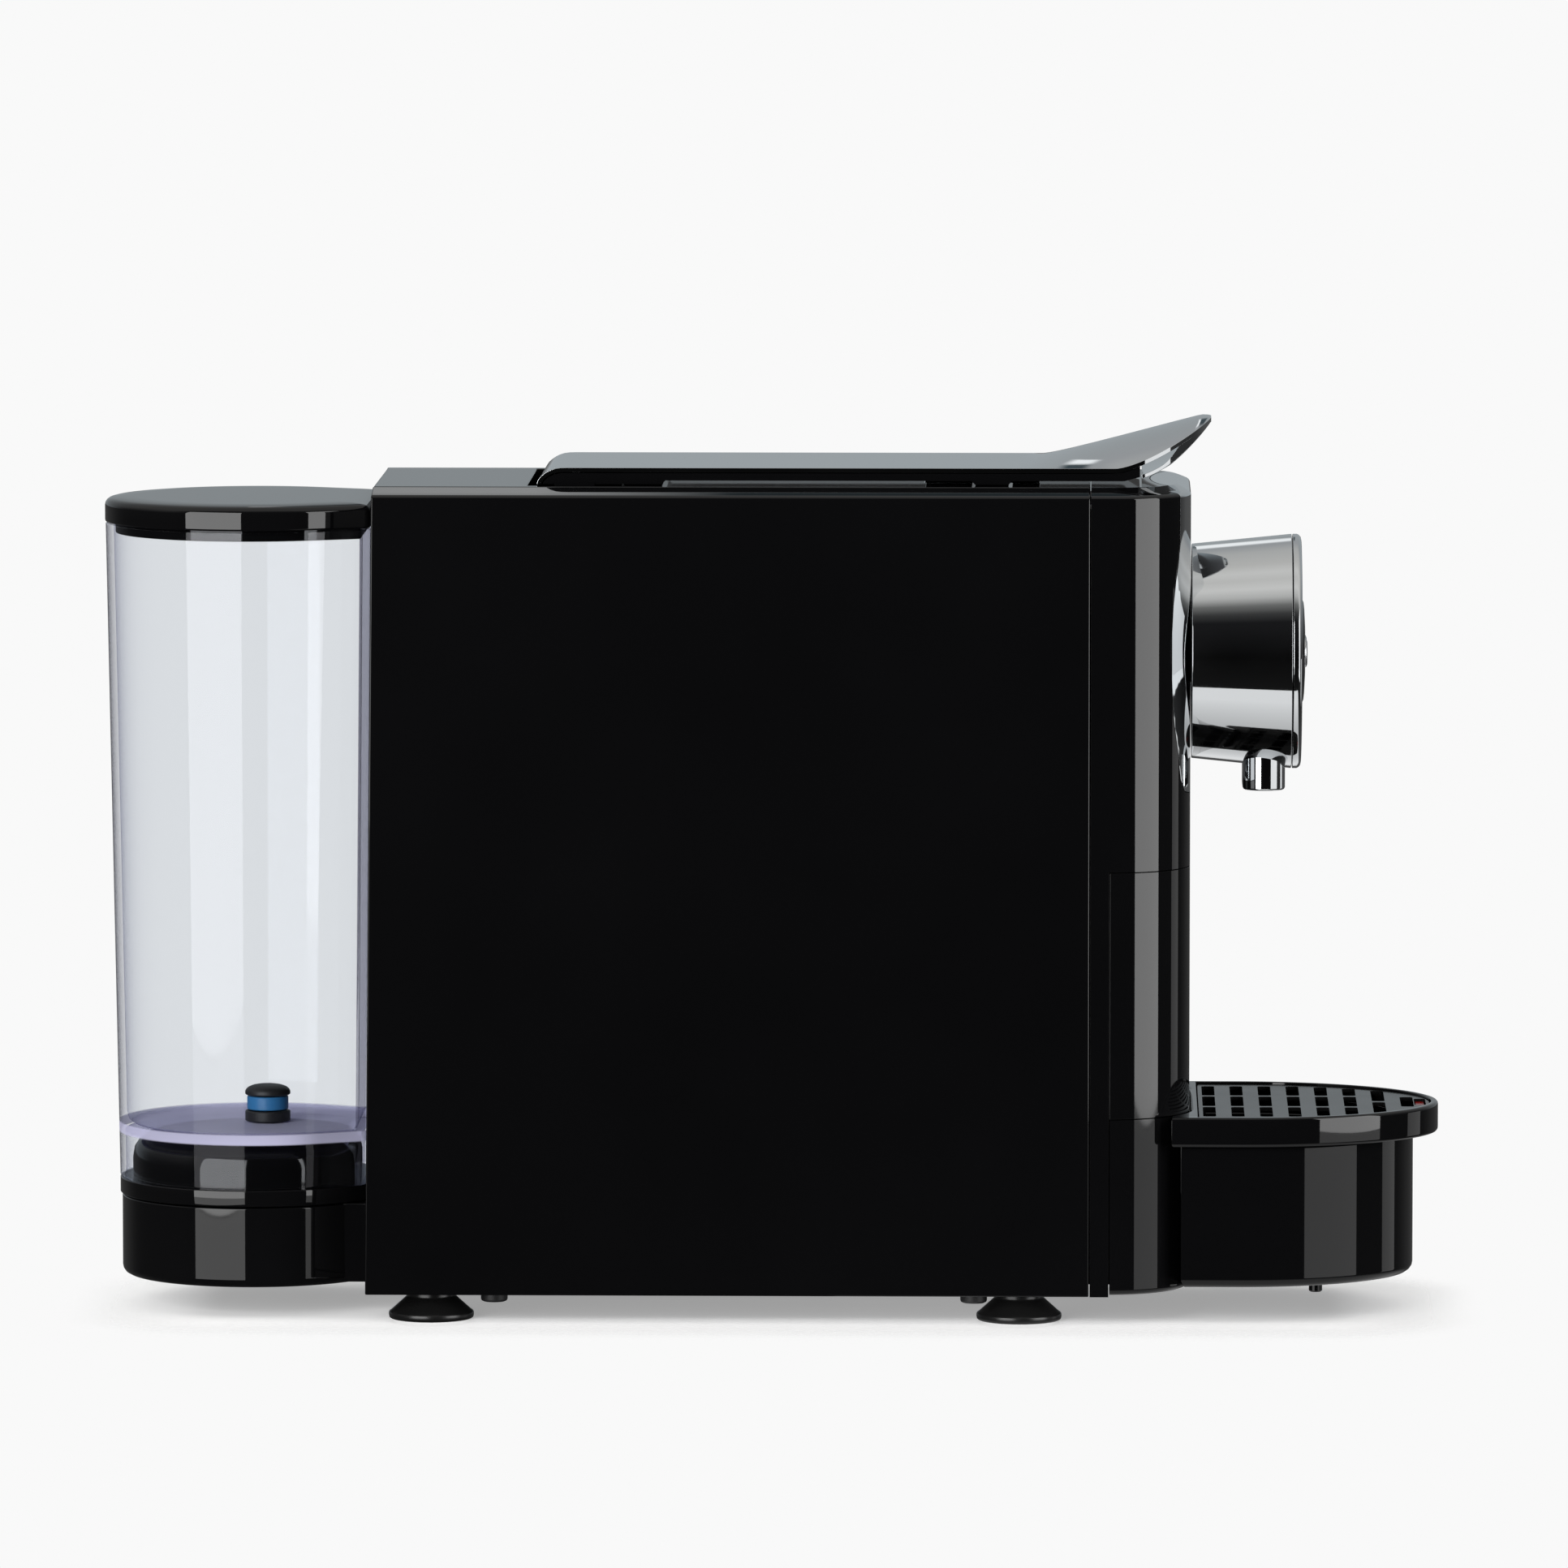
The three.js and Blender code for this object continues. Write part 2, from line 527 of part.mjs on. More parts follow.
// Plan of the tank and its lid: the circle has straight shoulders, which leave the circle ahead of the angle and run on to the flat.
function shoulderPlan(r, flat, angle = 63) {
  const y = (r - (flat - TANK.x) * Math.cos(degrees(angle))) / Math.sin(degrees(angle));
  return [[flat, y], ...arc(TANK.x, 0, r, angle, 360 - angle, 30), [flat, -y]];
}

const tankR = (z) => TANK.rBottom + (TANK.rTop - TANK.rBottom) * clamp01((z - TANK.base) / (TANK.rim - TANK.base));
const tankFlat = (z) => rearX(z) - TANK_CLEARANCE;

function tankBlock(z0, z1, inset) {
  return loft([z0, z1].map((z) => shoulderPlan(tankR(z) - inset, tankFlat(z) - inset).map(([x, y]) => [x, y, z])));
}

function waterTank() {
  return cut(
    tankBlock(TANK.base, TANK.rim, 0),
    tankBlock(TANK.floor, TANK.rim + 5, TANK.wall),
    tankBlock(TANK.base - 5, TANK.floor - 2, TANK.wall - 0.6),
    rod('z', 45, 60, VALVE_X, 0, 5),
  );
}

function tankLid() {
  const plan = (z, inset) => shoulderPlan(TANK.rTop + LID.overhang - inset, tankFlat(TANK.rim) - inset).map(([x, y]) => [x, y, z]);
  const cap = loft([
    plan(TANK.rim + GAP, 0), plan(LID.top - 2.2, 0), plan(LID.top - 1, 0.6), plan(LID.top - 0.4, 2), plan(LID.top, 9),
  ]);
  const plug = tankBlock(TANK.rim - 3, TANK.rim + 1, TANK.wall + 0.5);
  return cut(joined(cap, plug), tankBlock(TANK.rim - 5, LID.top - 2.4, TANK.wall + 2.5));
}

// The valve in the tank's floor: its stem reaches down into the dock, its float cap stands in the water.
function valveBody() {
  return joined(rod('z', 46.5, 56, VALVE_X, 0, 4.6), rod('z', TANK.floor + GAP, 57.9, VALVE_X, 0, 6.8));
}

const valveSeal = () => rod('z', 58.2, 62.3, VALVE_X, 0, 6.2);

function valveCap() {
  return turned([[0, 62.6], [6.8, 62.6], [6.8, 63.8], [5.8, 65], [3.6, 65.6], [0, 65.8]], 'z', VALVE_X, 0, 0, 24);
}

function tankDock() {
  const plan = (z, r, flat) => tankPlan(r, flat).map(([x, y]) => [x, y, z]);
  const flat = rearX(DOCK.base) - 0.8;
  const ring = loft([plan(DOCK.base, TANK.rBottom, flat), plan(DOCK.ring, TANK.rBottom, flat)]);
  const boss = loft([
    plan(DOCK.ring - 1, DOCK.bossR, flat - 4), plan(DOCK.boss - 8, DOCK.bossR, flat - 4),
    plan(DOCK.boss - 3, DOCK.bossR - 2, flat - 6), plan(DOCK.boss - 0.8, DOCK.bossR - 5.5, flat - 9),
    plan(DOCK.boss, DOCK.bossR - 9, flat - 12),
  ]);
  const socket = joined(rod('z', 40, 60, VALVE_X, 0, 6.2), rod('z', 30, 41, VALVE_X, 0, 3.2));
  return cut(joined(ring, boss), socket);
}

const inletProbe = () => joined(rod('z', 26, 44.5, VALVE_X, 0, 2.4), rod('z', 26, 30, VALVE_X, 0, 4.5));

function tankPlatform() {
  const round = arc(PLATFORM.x, 0, 1, 0, 360, 40).slice(0, -1);
  const ring = (z, r) => round.map(([x, y]) => [PLATFORM.x + (x - PLATFORM.x) * r, y * r, z]);
  const top = DOCK.base - GAP;
  const drum = loft([
    ring(PLATFORM.base, PLATFORM.r - 2.4), ring(PLATFORM.base + 0.7, PLATFORM.r - 0.7), ring(PLATFORM.base + 2.4, PLATFORM.r),
    ring(top, PLATFORM.r),
  ]);
  const neck = middleBox(-140, rearX(20) - 0.4, PLATFORM.neckHalf, PLATFORM.base + 0.6, top);
  const gate = prism([
    [rearX(-10) - 0.2, -10], [-90, -10], [-90, 60], [rearX(60) - 0.2, 60],
  ], -60, 60, 'side');
  const hollow = joined(
    rod('z', PLATFORM.base + 2.5, top + 1, PLATFORM.x, 0, PLATFORM.r - 2.5, PLATFORM.r - 2.5, 40),
    middleBox(-140, -110, 12, 20, top + 1),
  );
  return cut(joined(drum, neck), gate, hollow);
}

function powerGland() {
  const back = rearX(25);
  return cut(
    joined(rod('x', back - 7, back + 0.1, 39.5, 25, 5.2, 6.2), rod('x', back, back + 4, 39.5, 25, 4)),
    rod('x', back - 8, back + 6, 39.5, 25, 2.2),
  );
}

// ---------------------------------------------------------------- pull-out unit

// Plan of the tray: straight sides, then a half ellipse to the tip.
function trayPlan({ start, half, bend, tip }, inset, n = 22) {
  const ellipse = arc(0, 0, 1, -90, 90, n).map(([x, y]) => [bend + (tip - inset - bend) * x, (half - inset) * y]);
  return [[start, -half + inset], ...ellipse, [start, half - inset]];
}

// The front of the body grown a little, to keep the tray clear of it.
const bodyFront = (grow, z0, z1) => prism(
  frontPlan(90, BODY_HALF + grow, FRONT_FACE + grow, CORNER_R + grow), z0, z1);

function capsuleBin() {
  const [z0, z1] = [BAY.split + GAP / 2, BAY.top - GAP];
  const shell = cut(
    prism(frontPlan(BAY.x, BODY_HALF, FRONT_FACE, CORNER_R), z0, z1),
    prism(frontPlan(BAY.x - 5, BODY_HALF - WALL, FRONT_FACE - WALL, CORNER_R - WALL), z0 + 2, z1 + 1),
  );
  const frame = cut(
    joined(middleBox(BAY.x, BAY.x + 2.5, BODY_HALF - 1, z0, z1), middleBox(BAY.x - 2.4, BAY.x + 2.5, BODY_HALF - WALL - GAP, z0, z1)),
    middleBox(90, 110, 41, z0 + 2, z1 + 1),
  );
  const bucket = cut(middleBox(30, BAY.x + 1, 43, z0 + 0.5, 128), middleBox(32, BAY.x + 5, 41, z0 + 2.5, 129));
  return joined(shell, frame, bucket);
}

// The lower half of the unit: a body-wide collar, and the hollow base that carries the drip tray.
function trayBase() {
  const top = BAY.split - GAP / 2;
  const collar = cut(
    prism(frontPlan(BAY.x, BODY_HALF, FRONT_FACE, CORNER_R), 9, top),
    prism(frontPlan(BAY.x - 5, BODY_HALF - WALL, FRONT_FACE - WALL, CORNER_R - WALL), 12.6, top + 1),
  );
  const tray = cut(
    prism(trayPlan({ ...TRAY_BASE, start: 112 }, 0), TRAY_BASE.bottom, TRAY.bandBase - GAP),
    prism(trayPlan({ ...TRAY_BASE, start: 110 }, 2.2), TRAY_BASE.bottom + 2.2, TRAY.bandBase + 1),
    bodyFront(-0.5, 0, 80),
    box(100, TRAY_BASE.start, -60, -20, 0, 80),
    box(100, TRAY_BASE.start, 20, 60, 0, 80),
  );
  const tongue = cut(middleBox(30, BAY.x + 2, 43, 12, 16), middleBox(40, 92, 33, 11, 17));
  const nubs = [-1, 1].map((side) => rod('z', 7.8, TRAY_BASE.bottom + 1, 163, side * 30, 2, 2, 12));
  const lips = cut(
    joined(middleBox(BAY.x - 2.4, BAY.x + 2, BODY_HALF - WALL - GAP, 12, top), middleBox(BAY.x + 0.2, BAY.x + 2, BODY_HALF - 1.5, 12, top)),
    middleBox(90, 110, BODY_HALF - 4.8, 0, 80),
  );
  return joined(collar, tray, tongue, lips, ...nubs);
}

const insideTray = (plan, inset, z0, z1) => prism(trayPlan({ ...plan, start: FRONT_FACE + 2.4 }, inset), z0, z1);

// The rim lies on the base, and the grid rests on the ledge inside it.
function trayRim() {
  return cut(
    prism(trayPlan(TRAY, 0), TRAY.bandBase, TRAY.top),
    insideTray(TRAY, 2.2, TRAY.top - 4.2, TRAY.top + 1),
    insideTray(TRAY_BASE, 4.8, TRAY.bandBase - 1, TRAY.top + 1),
    middleBox(184, FLOAT_X + 2.2, 8.5, TRAY.bandBase + 1.5, TRAY.top),
    bodyFront(0.4, 20, 90),
  );
}

// The pan hangs under the rim, inside the base.
function dripTray() {
  return cut(
    prism(trayPlan({ ...TRAY_BASE, start: TRAY.start }, 2.8), TRAY.floor, TRAY.bandBase - GAP),
    insideTray(TRAY_BASE, 4.8, TRAY.floor + 1.8, TRAY.bandBase + 1),
    bodyFront(0.4, 20, 90),
  );
}

const slotReach = (x) => {
  const share = clamp01((x - TRAY.bend) / (TRAY.tip - TRAY.bend));
  return Math.min(SLOT.reach, (TRAY.half - 5) * Math.sqrt(1 - share * share) - 2.2);
};

// The grid's slots lie in rows across the tray: three in the wide columns, two or one near the tip.
function gridSlots() {
  const cutters = [];
  for (let k = 0; k < 8; k++) {
    const x = SLOT.first + SLOT.pitch * k;
    const reach = slotReach(x);
    const spans = k < 6 ? [[-reach, -12 - 2 * SLOT.gap], [-12, 12], [12 + 2 * SLOT.gap, reach]]
      : k < 7 ? [[-reach, -SLOT.gap], [SLOT.gap, reach]] : [[-11.8, 11.8]];
    for (const [y0, y1] of spans) cutters.push(box(x - SLOT.half, x + SLOT.half, y0, y1, 50, 70));
  }
  return cutters;
}

function dripGrid() {
  const inner = { ...TRAY, start: FRONT_FACE + 2.4 + GAP };
  const plate = prism(trayPlan(inner, 2.2 + GAP), TRAY.top - 4.2 + GAP, TRAY.top - 0.6);
  const relief = prism(trayPlan({ ...inner, start: inner.start + 2 }, 5), 50, TRAY.top - 1.8);
  const floatHole = middleBox(FLOAT_X - 1.7, FLOAT_X + 1.7, 7.6, 50, 70);
  return cut(plate, relief, ...gridSlots(), floatHole);
}

// A float in the pan, whose red end stands in a pocket near the tip and rises through the grid when the tray is full.
function overflowFloat() {
  return joined(
    middleBox(178, 185.5, 7.2, 43, 56),
    middleBox(185, FLOAT_X, 3, 55, 56),
    middleBox(FLOAT_X - 1.3, FLOAT_X + 1.3, 7.2, 55, TRAY.top - 1.4),
  );
}

const drawerRail = (side) => box(17.5, 94, Math.min(side * 44.2, side * 47), Math.max(side * 44.2, side * 47), 52, 57);

// ---------------------------------------------------------------- water circuit and electrics

function thermoblock() {
  const fins = [-34, -24, -14, -4].map((x) => middleBox(x, x + 3, 24, 170, 214));
  return joined(middleBox(-40, 10, 20, 170, 212), ...fins, rod('x', 9, 16.2, 0, HEAD.z, 7));
}

function waterPump() {
  return joined(
    rod('x', -92, -20, 0, 62, 16, 16, 28), rod('x', -104, -90, 0, 62, 5), rod('x', -22, -8, 0, 62, 5),
    middleBox(-74, -38, 19, 44, 80),
  );
}

const pumpMount = (x) => cut(middleBox(x, x + 6, 24, BODY_BASE + 3, 82), rod('x', x - 1, x + 7, 0, 62, 16 + GAP, 16 + GAP, 28));

const flowMeter = () => joined(rod('y', -8, 8, 1, 118, 11), rod('z', 100, 136, 1, 0, 2.6, 2.6, 12));

function controlBoard() {
  return joined(
    box(-96, -22, 42, 43.6, 100, 196), box(-84, -64, 30, 42.4, 112, 134), box(-56, -36, 32, 42.4, 150, 172),
    box(-86, -70, 34, 42.4, 160, 186),
  );
}

const HOSE_R = 2.6;

const suctionHose = () => hose([
  [VALVE_X, 0, 25.6], [VALVE_X + 0.5, 0, 21], [-146, 0, 16.5], [-136, 0, 18], [-128, 0, 27], [-119, 0, 30], [-112, 0, 34],
  [-110.5, 0, 44], [-111.5, 0, 54], [-109.5, 0, 60.9], [-107, 0, 62], [-104.7, 0, 62],
], HOSE_R, 28);

const pumpHose = () => hose([[-7.4, 0, 62], [-4.5, 0, 62], [-0.5, 0, 64.5], [1, 0, 72], [1, 0, 86], [1, 0, 99.7]], HOSE_R, 12);

const boilerHose = () => hose([[1, 0, 136.3], [0, 0, 146], [-14, 0, 153], [-25, 0, 158], [-27, 0, 163], [-27, 0, 169.3]], HOSE_R, 14);

// ---------------------------------------------------------------- feet and screws

const foot = (x, y) => turned([
  [0, 0], [FOOT_R - 0.7, 0], [FOOT_R, 0.8], [FOOT_R, 1.9], [7.4, 6.6], [7.4, BODY_BASE - GAP],
  [0, BODY_BASE - GAP],
], 'z', x, y, 0, 20);

const screw = (x, y) => rod('z', BODY_BASE - 3, BODY_BASE - GAP, x, y, 4, 4, 16);

// ---------------------------------------------------------------- assembly

add('right_side_panel', sidePanel(-1), GLOSS);
add('left_side_panel', sidePanel(1), GLOSS);
add('top_cover', topCover(), GLOSS);
add('rear_cover', rearCover(), SATIN);
add('base_plate', basePlate(), SATIN);
add('front_cover', frontCover(), GLOSS);
add('front_trim', frontTrim(), CHROME);

add('head_shell', headShell(), CHROME);
add('head_bezel', headBezel(), CHROME);
add('control_disc', controlDisc(), GLOSS);
add('button_short', button(-1), STEEL);
add('button_long', button(1), STEEL);
add('spout_nozzle', spoutNozzle(), CHROME);
add('coffee_duct', coffeeDuct(), SATIN);

add('brew_frame', brewFrame(), SATIN);
add('bulkhead', bulkhead(), SATIN);
add('brew_cage', brewCage(), STEEL);
add('piercing_needles', piercingNeedles(), STEEL);
add('extraction_plate', extractionPlate(), STEEL);
add('brew_carriage', brewCarriage(), SATIN);
add('drive_pin', drivePin(), STEEL);

add('lever_cover', leverCover(), CHROME);
add('lever_frame', leverFrame(), GLOSS);
add('lever_hinge_pin', hingePin(), STEEL);

add('water_tank', waterTank(), CLEAR);
add('tank_lid', tankLid(), GLOSS);
add('tank_valve_body', valveBody(), SATIN);
add('tank_valve_seal', valveSeal(), BLUE);
add('tank_valve_cap', valveCap(), SATIN);
add('tank_dock', tankDock(), GLOSS);
add('inlet_probe', inletProbe(), BRASS);
add('tank_platform', tankPlatform(), GLOSS);
add('power_gland', powerGland(), RUBBER);

add('capsule_bin', capsuleBin(), GLOSS);
add('tray_base', trayBase(), GLOSS);
add('drip_tray', dripTray(), GLOSS);
add('tray_rim', trayRim(), GLOSS);
add('drip_grid', dripGrid(), MATT);
add('overflow_float', overflowFloat(), RED);
add('drawer_rail_right', drawerRail(-1), SATIN);
add('drawer_rail_left', drawerRail(1), SATIN);

add('thermoblock', thermoblock(), ALUMINIUM);
add('water_pump', waterPump(), WHITE);
add('pump_mount_rear', pumpMount(-84), RUBBER);
add('pump_mount_front', pumpMount(-34), RUBBER);
add('flow_meter', flowMeter(), WHITE);
add('control_board', controlBoard(), BOARD);
add('suction_hose', suctionHose(), SILICONE);
add('pump_hose', pumpHose(), SILICONE);
add('boiler_hose', boilerHose(), SILICONE);

const SIDES = ['right', 'left'];
FEET_X.forEach((x, i) => FEET_Y.forEach((y, j) => {
  add(`foot_${i ? 'front' : 'rear'}_${SIDES[j]}`, foot(x, y), RUBBER);
}));
SCREW_X.forEach((x, i) => SCREW_Y.forEach((y, j) => {
  add(`base_screw_${i ? 'front' : 'rear'}_${SIDES[j]}`, screw(x, y), SATIN);
}));

export default machine;
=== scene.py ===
# Looks of the pod coffee machine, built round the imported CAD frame.
# Shapes are written in millimetres in the row frame and stored in metres. +X is the front, +Z is up.

import json
import math

import bpy
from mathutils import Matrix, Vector

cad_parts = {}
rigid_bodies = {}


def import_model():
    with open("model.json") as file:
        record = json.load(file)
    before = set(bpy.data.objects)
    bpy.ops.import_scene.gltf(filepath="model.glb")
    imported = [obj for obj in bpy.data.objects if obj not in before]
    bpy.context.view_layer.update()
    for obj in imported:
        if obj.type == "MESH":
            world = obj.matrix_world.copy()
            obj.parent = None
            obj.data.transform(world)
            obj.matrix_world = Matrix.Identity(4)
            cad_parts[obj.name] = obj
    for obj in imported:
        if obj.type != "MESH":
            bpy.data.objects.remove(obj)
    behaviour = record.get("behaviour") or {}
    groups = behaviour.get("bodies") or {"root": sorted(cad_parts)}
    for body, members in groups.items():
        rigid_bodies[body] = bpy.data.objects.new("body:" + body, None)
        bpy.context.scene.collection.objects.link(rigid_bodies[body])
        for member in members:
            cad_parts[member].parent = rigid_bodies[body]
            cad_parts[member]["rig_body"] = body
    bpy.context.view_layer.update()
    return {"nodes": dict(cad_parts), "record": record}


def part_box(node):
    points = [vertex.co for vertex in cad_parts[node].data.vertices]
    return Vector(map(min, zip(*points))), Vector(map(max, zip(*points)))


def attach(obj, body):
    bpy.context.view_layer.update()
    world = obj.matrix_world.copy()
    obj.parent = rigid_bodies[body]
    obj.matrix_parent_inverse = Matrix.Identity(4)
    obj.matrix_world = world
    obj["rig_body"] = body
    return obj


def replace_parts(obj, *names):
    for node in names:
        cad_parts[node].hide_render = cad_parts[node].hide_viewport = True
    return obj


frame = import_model()
MM = 0.001
SLOT_OF = {s["node"]: s["material_slot"] for s in frame["record"]["subparts"]}


def corners(node):
    """Lowest and highest corner of a CAD node, in millimetres."""
    return [[v / MM for v in corner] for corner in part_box(node)]


DRUM_R = 40.4
TANK_X = corners("tank_platform")[0][0] + DRUM_R

# ---------------------------------------------------------------- camera

def aim(thing, location, target):
    """Places a thing and turns its -Z axis toward a target."""
    thing.location = [v * MM for v in location]
    away = Vector(target) - Vector(location)
    thing.rotation_euler = away.to_track_quat("-Z", "Y").to_euler()


camera = bpy.data.objects.new("camera", bpy.data.cameras.new("camera"))
bpy.context.scene.collection.objects.link(camera)
bpy.context.scene.camera = camera
camera.data.lens, camera.data.sensor_width = 299.6, 36
camera.data.clip_start, camera.data.clip_end = 0.1, 30
aim(camera, (97.1, -3898, 530.5), (3.5, 0, 156.8))

# ---------------------------------------------------------------- materials

class Nodes:
    """Short calls that add nodes to a node tree."""

    def __init__(self, tree):
        self.tree = tree
        tree.nodes.clear()

    def add(self, kind, settings=None, **inputs):
        node = self.tree.nodes.new(kind)
        for key, value in (settings or {}).items():
            setattr(node, key, value)
        for key, value in inputs.items():
            self.feed(node.inputs[key.replace("_", " ")], value)
        return node

    def feed(self, socket, value):
        if isinstance(value, bpy.types.NodeSocket):
            self.tree.links.new(value, socket)
        else:
            socket.default_value = value

    def math(self, operation, *values):
        node = self.add("ShaderNodeMath", {"operation": operation})
        for socket, value in zip(node.inputs, values):
            self.feed(socket, value)
        return node.outputs["Value"]

    def noise(self, scale, detail=3):
        place = self.add("ShaderNodeTexCoord").outputs["Object"]
        return self.add("ShaderNodeTexNoise", Vector=place, Scale=scale, Detail=detail).outputs["Fac"]

    def between(self, fac, low, high):
        """A value from low to high that follows the middle of a noise."""
        span = self.add("ShaderNodeMapRange", Value=fac, From_Min=0.3, From_Max=0.7, To_Min=low, To_Max=high)
        return span.outputs["Result"]

    def blend(self, fac, one, two):
        """A mix of two colours."""
        node = self.add("ShaderNodeMix", {"data_type": "RGBA"})
        self.feed(node.inputs["Factor"], fac)
        self.feed(node.inputs["A"], one)
        self.feed(node.inputs["B"], two)
        return node.outputs["Result"]

    def mixed(self, fac, one, two):
        """A mix of two shaders."""
        node = self.add("ShaderNodeMixShader", Fac=fac)
        self.feed(node.inputs[1], one)
        self.feed(node.inputs[2], two)
        return node.outputs["Shader"]


def finish(name, dark, light, rough, grain, grain_depth, metallic=0.0, ior=1.45):
    """An opaque moulded, plated or machined surface: its colour and gloss vary a little, over a fine grain."""
    made = bpy.data.materials.new(name)
    made.use_nodes = True
    n = Nodes(made.node_tree)
    surface = n.add(
        "ShaderNodeBsdfPrincipled", Metallic=metallic, IOR=ior,
        Base_Color=n.blend(n.noise(14), (*dark, 1), (*light, 1)),
        Roughness=n.between(n.noise(46.2), *rough),
        Normal=n.add("ShaderNodeBump", Height=n.noise(grain), Strength=1.0, Distance=grain_depth * MM).outputs["Normal"],
    )
    n.add("ShaderNodeOutputMaterial", Surface=surface.outputs["BSDF"])
    return made


def brushed(name, dark, light, rough, stretch):
    """Steel brushed along one axis."""
    made = bpy.data.materials.new(name)
    made.use_nodes = True
    n = Nodes(made.node_tree)
    place = n.add("ShaderNodeMapping", Vector=n.add("ShaderNodeTexCoord").outputs["Object"], Scale=stretch)
    streaks = n.add("ShaderNodeTexNoise", Vector=place.outputs["Vector"], Scale=300, Detail=4).outputs["Fac"]
    surface = n.add(
        "ShaderNodeBsdfPrincipled", Metallic=1.0,
        Base_Color=n.blend(streaks, (*dark, 1), (*light, 1)),
        Roughness=n.between(streaks, *rough),
        Normal=n.add("ShaderNodeBump", Height=streaks, Strength=1.0, Distance=0.01 * MM).outputs["Normal"],
    )
    n.add("ShaderNodeOutputMaterial", Surface=surface.outputs["BSDF"])
    return made


def clear_plastic(name, tint, edge):
    """Clear plastic: see-through where it is met face on, tinted and mirroring where it is met at a low angle.
    The corners beside the body let less light through, as painted shade; only the outside mirrors, and the thick floor
    is milky."""
    back_lean, shaded_corner_x, shaded_corner_y = 0.0104, -0.1244, 0.028
    wall_r, wall_flare = 0.0391, 0.0178
    floor_z = 0.0536
    made = bpy.data.materials.new(name)
    made.use_nodes = True
    n = Nodes(made.node_tree)
    slant = n.add("ShaderNodeLayerWeight", Blend=0.5).outputs["Facing"]
    x, y, z = n.add("ShaderNodeSeparateXYZ", Vector=n.add("ShaderNodeTexCoord").outputs["Object"]).outputs

    # Painted shade: near the back, the corners beside the body pass a grey instead of the clear tint.
    near_back = n.math("GREATER_THAN", n.math("MULTIPLY_ADD", z, -back_lean, x), shaded_corner_x)
    corner = n.math("MULTIPLY", near_back, n.math("GREATER_THAN", n.math("ABSOLUTE", y), shaded_corner_y))
    wall = n.blend(n.math("POWER", slant, 4.0), (*tint, 1), (*edge, 1))
    through = n.add("ShaderNodeBsdfTransparent", Color=n.blend(corner, wall, (0.45, 0.45, 0.50, 1)))

    spoke = n.add("ShaderNodeCombineXYZ", X=n.math("SUBTRACT", x, TANK_X * MM), Y=y)
    radius = n.add("ShaderNodeVectorMath", {"operation": "LENGTH"}, Vector=spoke.outputs["Vector"]).outputs["Value"]
    outside = n.math("GREATER_THAN", radius, n.math("MULTIPLY_ADD", z, wall_flare, wall_r))
    mirror = n.math("MULTIPLY_ADD", n.math("POWER", slant, 5.0), 0.96, 0.02)
    shine = n.add("ShaderNodeBsdfGlossy", Color=(0.9, 0.9, 0.95, 1), Roughness=n.between(n.noise(30), 0.02, 0.06))
    clear = n.mixed(n.math("MULTIPLY", outside, mirror), through.outputs["BSDF"], shine.outputs["BSDF"])

    frost = n.add("ShaderNodeMapRange", Value=n.math("ABSOLUTE", n.math("SUBTRACT", z, floor_z)),
                  From_Min=0.0013, From_Max=0.0018, To_Min=1.0, To_Max=0.0)
    milky = n.mixed(0.66, n.add("ShaderNodeBsdfTransparent", Color=(0.72, 0.72, 0.90, 1)).outputs["BSDF"],
                    n.add("ShaderNodeBsdfDiffuse", Color=(0.62, 0.61, 0.80, 1)).outputs["BSDF"])
    n.add("ShaderNodeOutputMaterial", Surface=n.mixed(frost.outputs["Result"], clear, milky))
    return made


def circuit_board(name):
    """Green lacquer over copper tracks."""
    made = bpy.data.materials.new(name)
    made.use_nodes = True
    n = Nodes(made.node_tree)
    place = n.add("ShaderNodeTexCoord").outputs["Object"]
    tracks = n.add("ShaderNodeTexBrick", Vector=place, Scale=120, Color1=(0.01, 0.09, 0.03, 1),
                   Color2=(0.015, 0.13, 0.05, 1), Mortar=(0.1, 0.2, 0.05, 1), Mortar_Size=0.012).outputs["Color"]
    surface = n.add("ShaderNodeBsdfPrincipled", Base_Color=tracks, Roughness=n.between(n.noise(60), 0.3, 0.5))
    n.add("ShaderNodeOutputMaterial", Surface=surface.outputs["BSDF"])
    return made


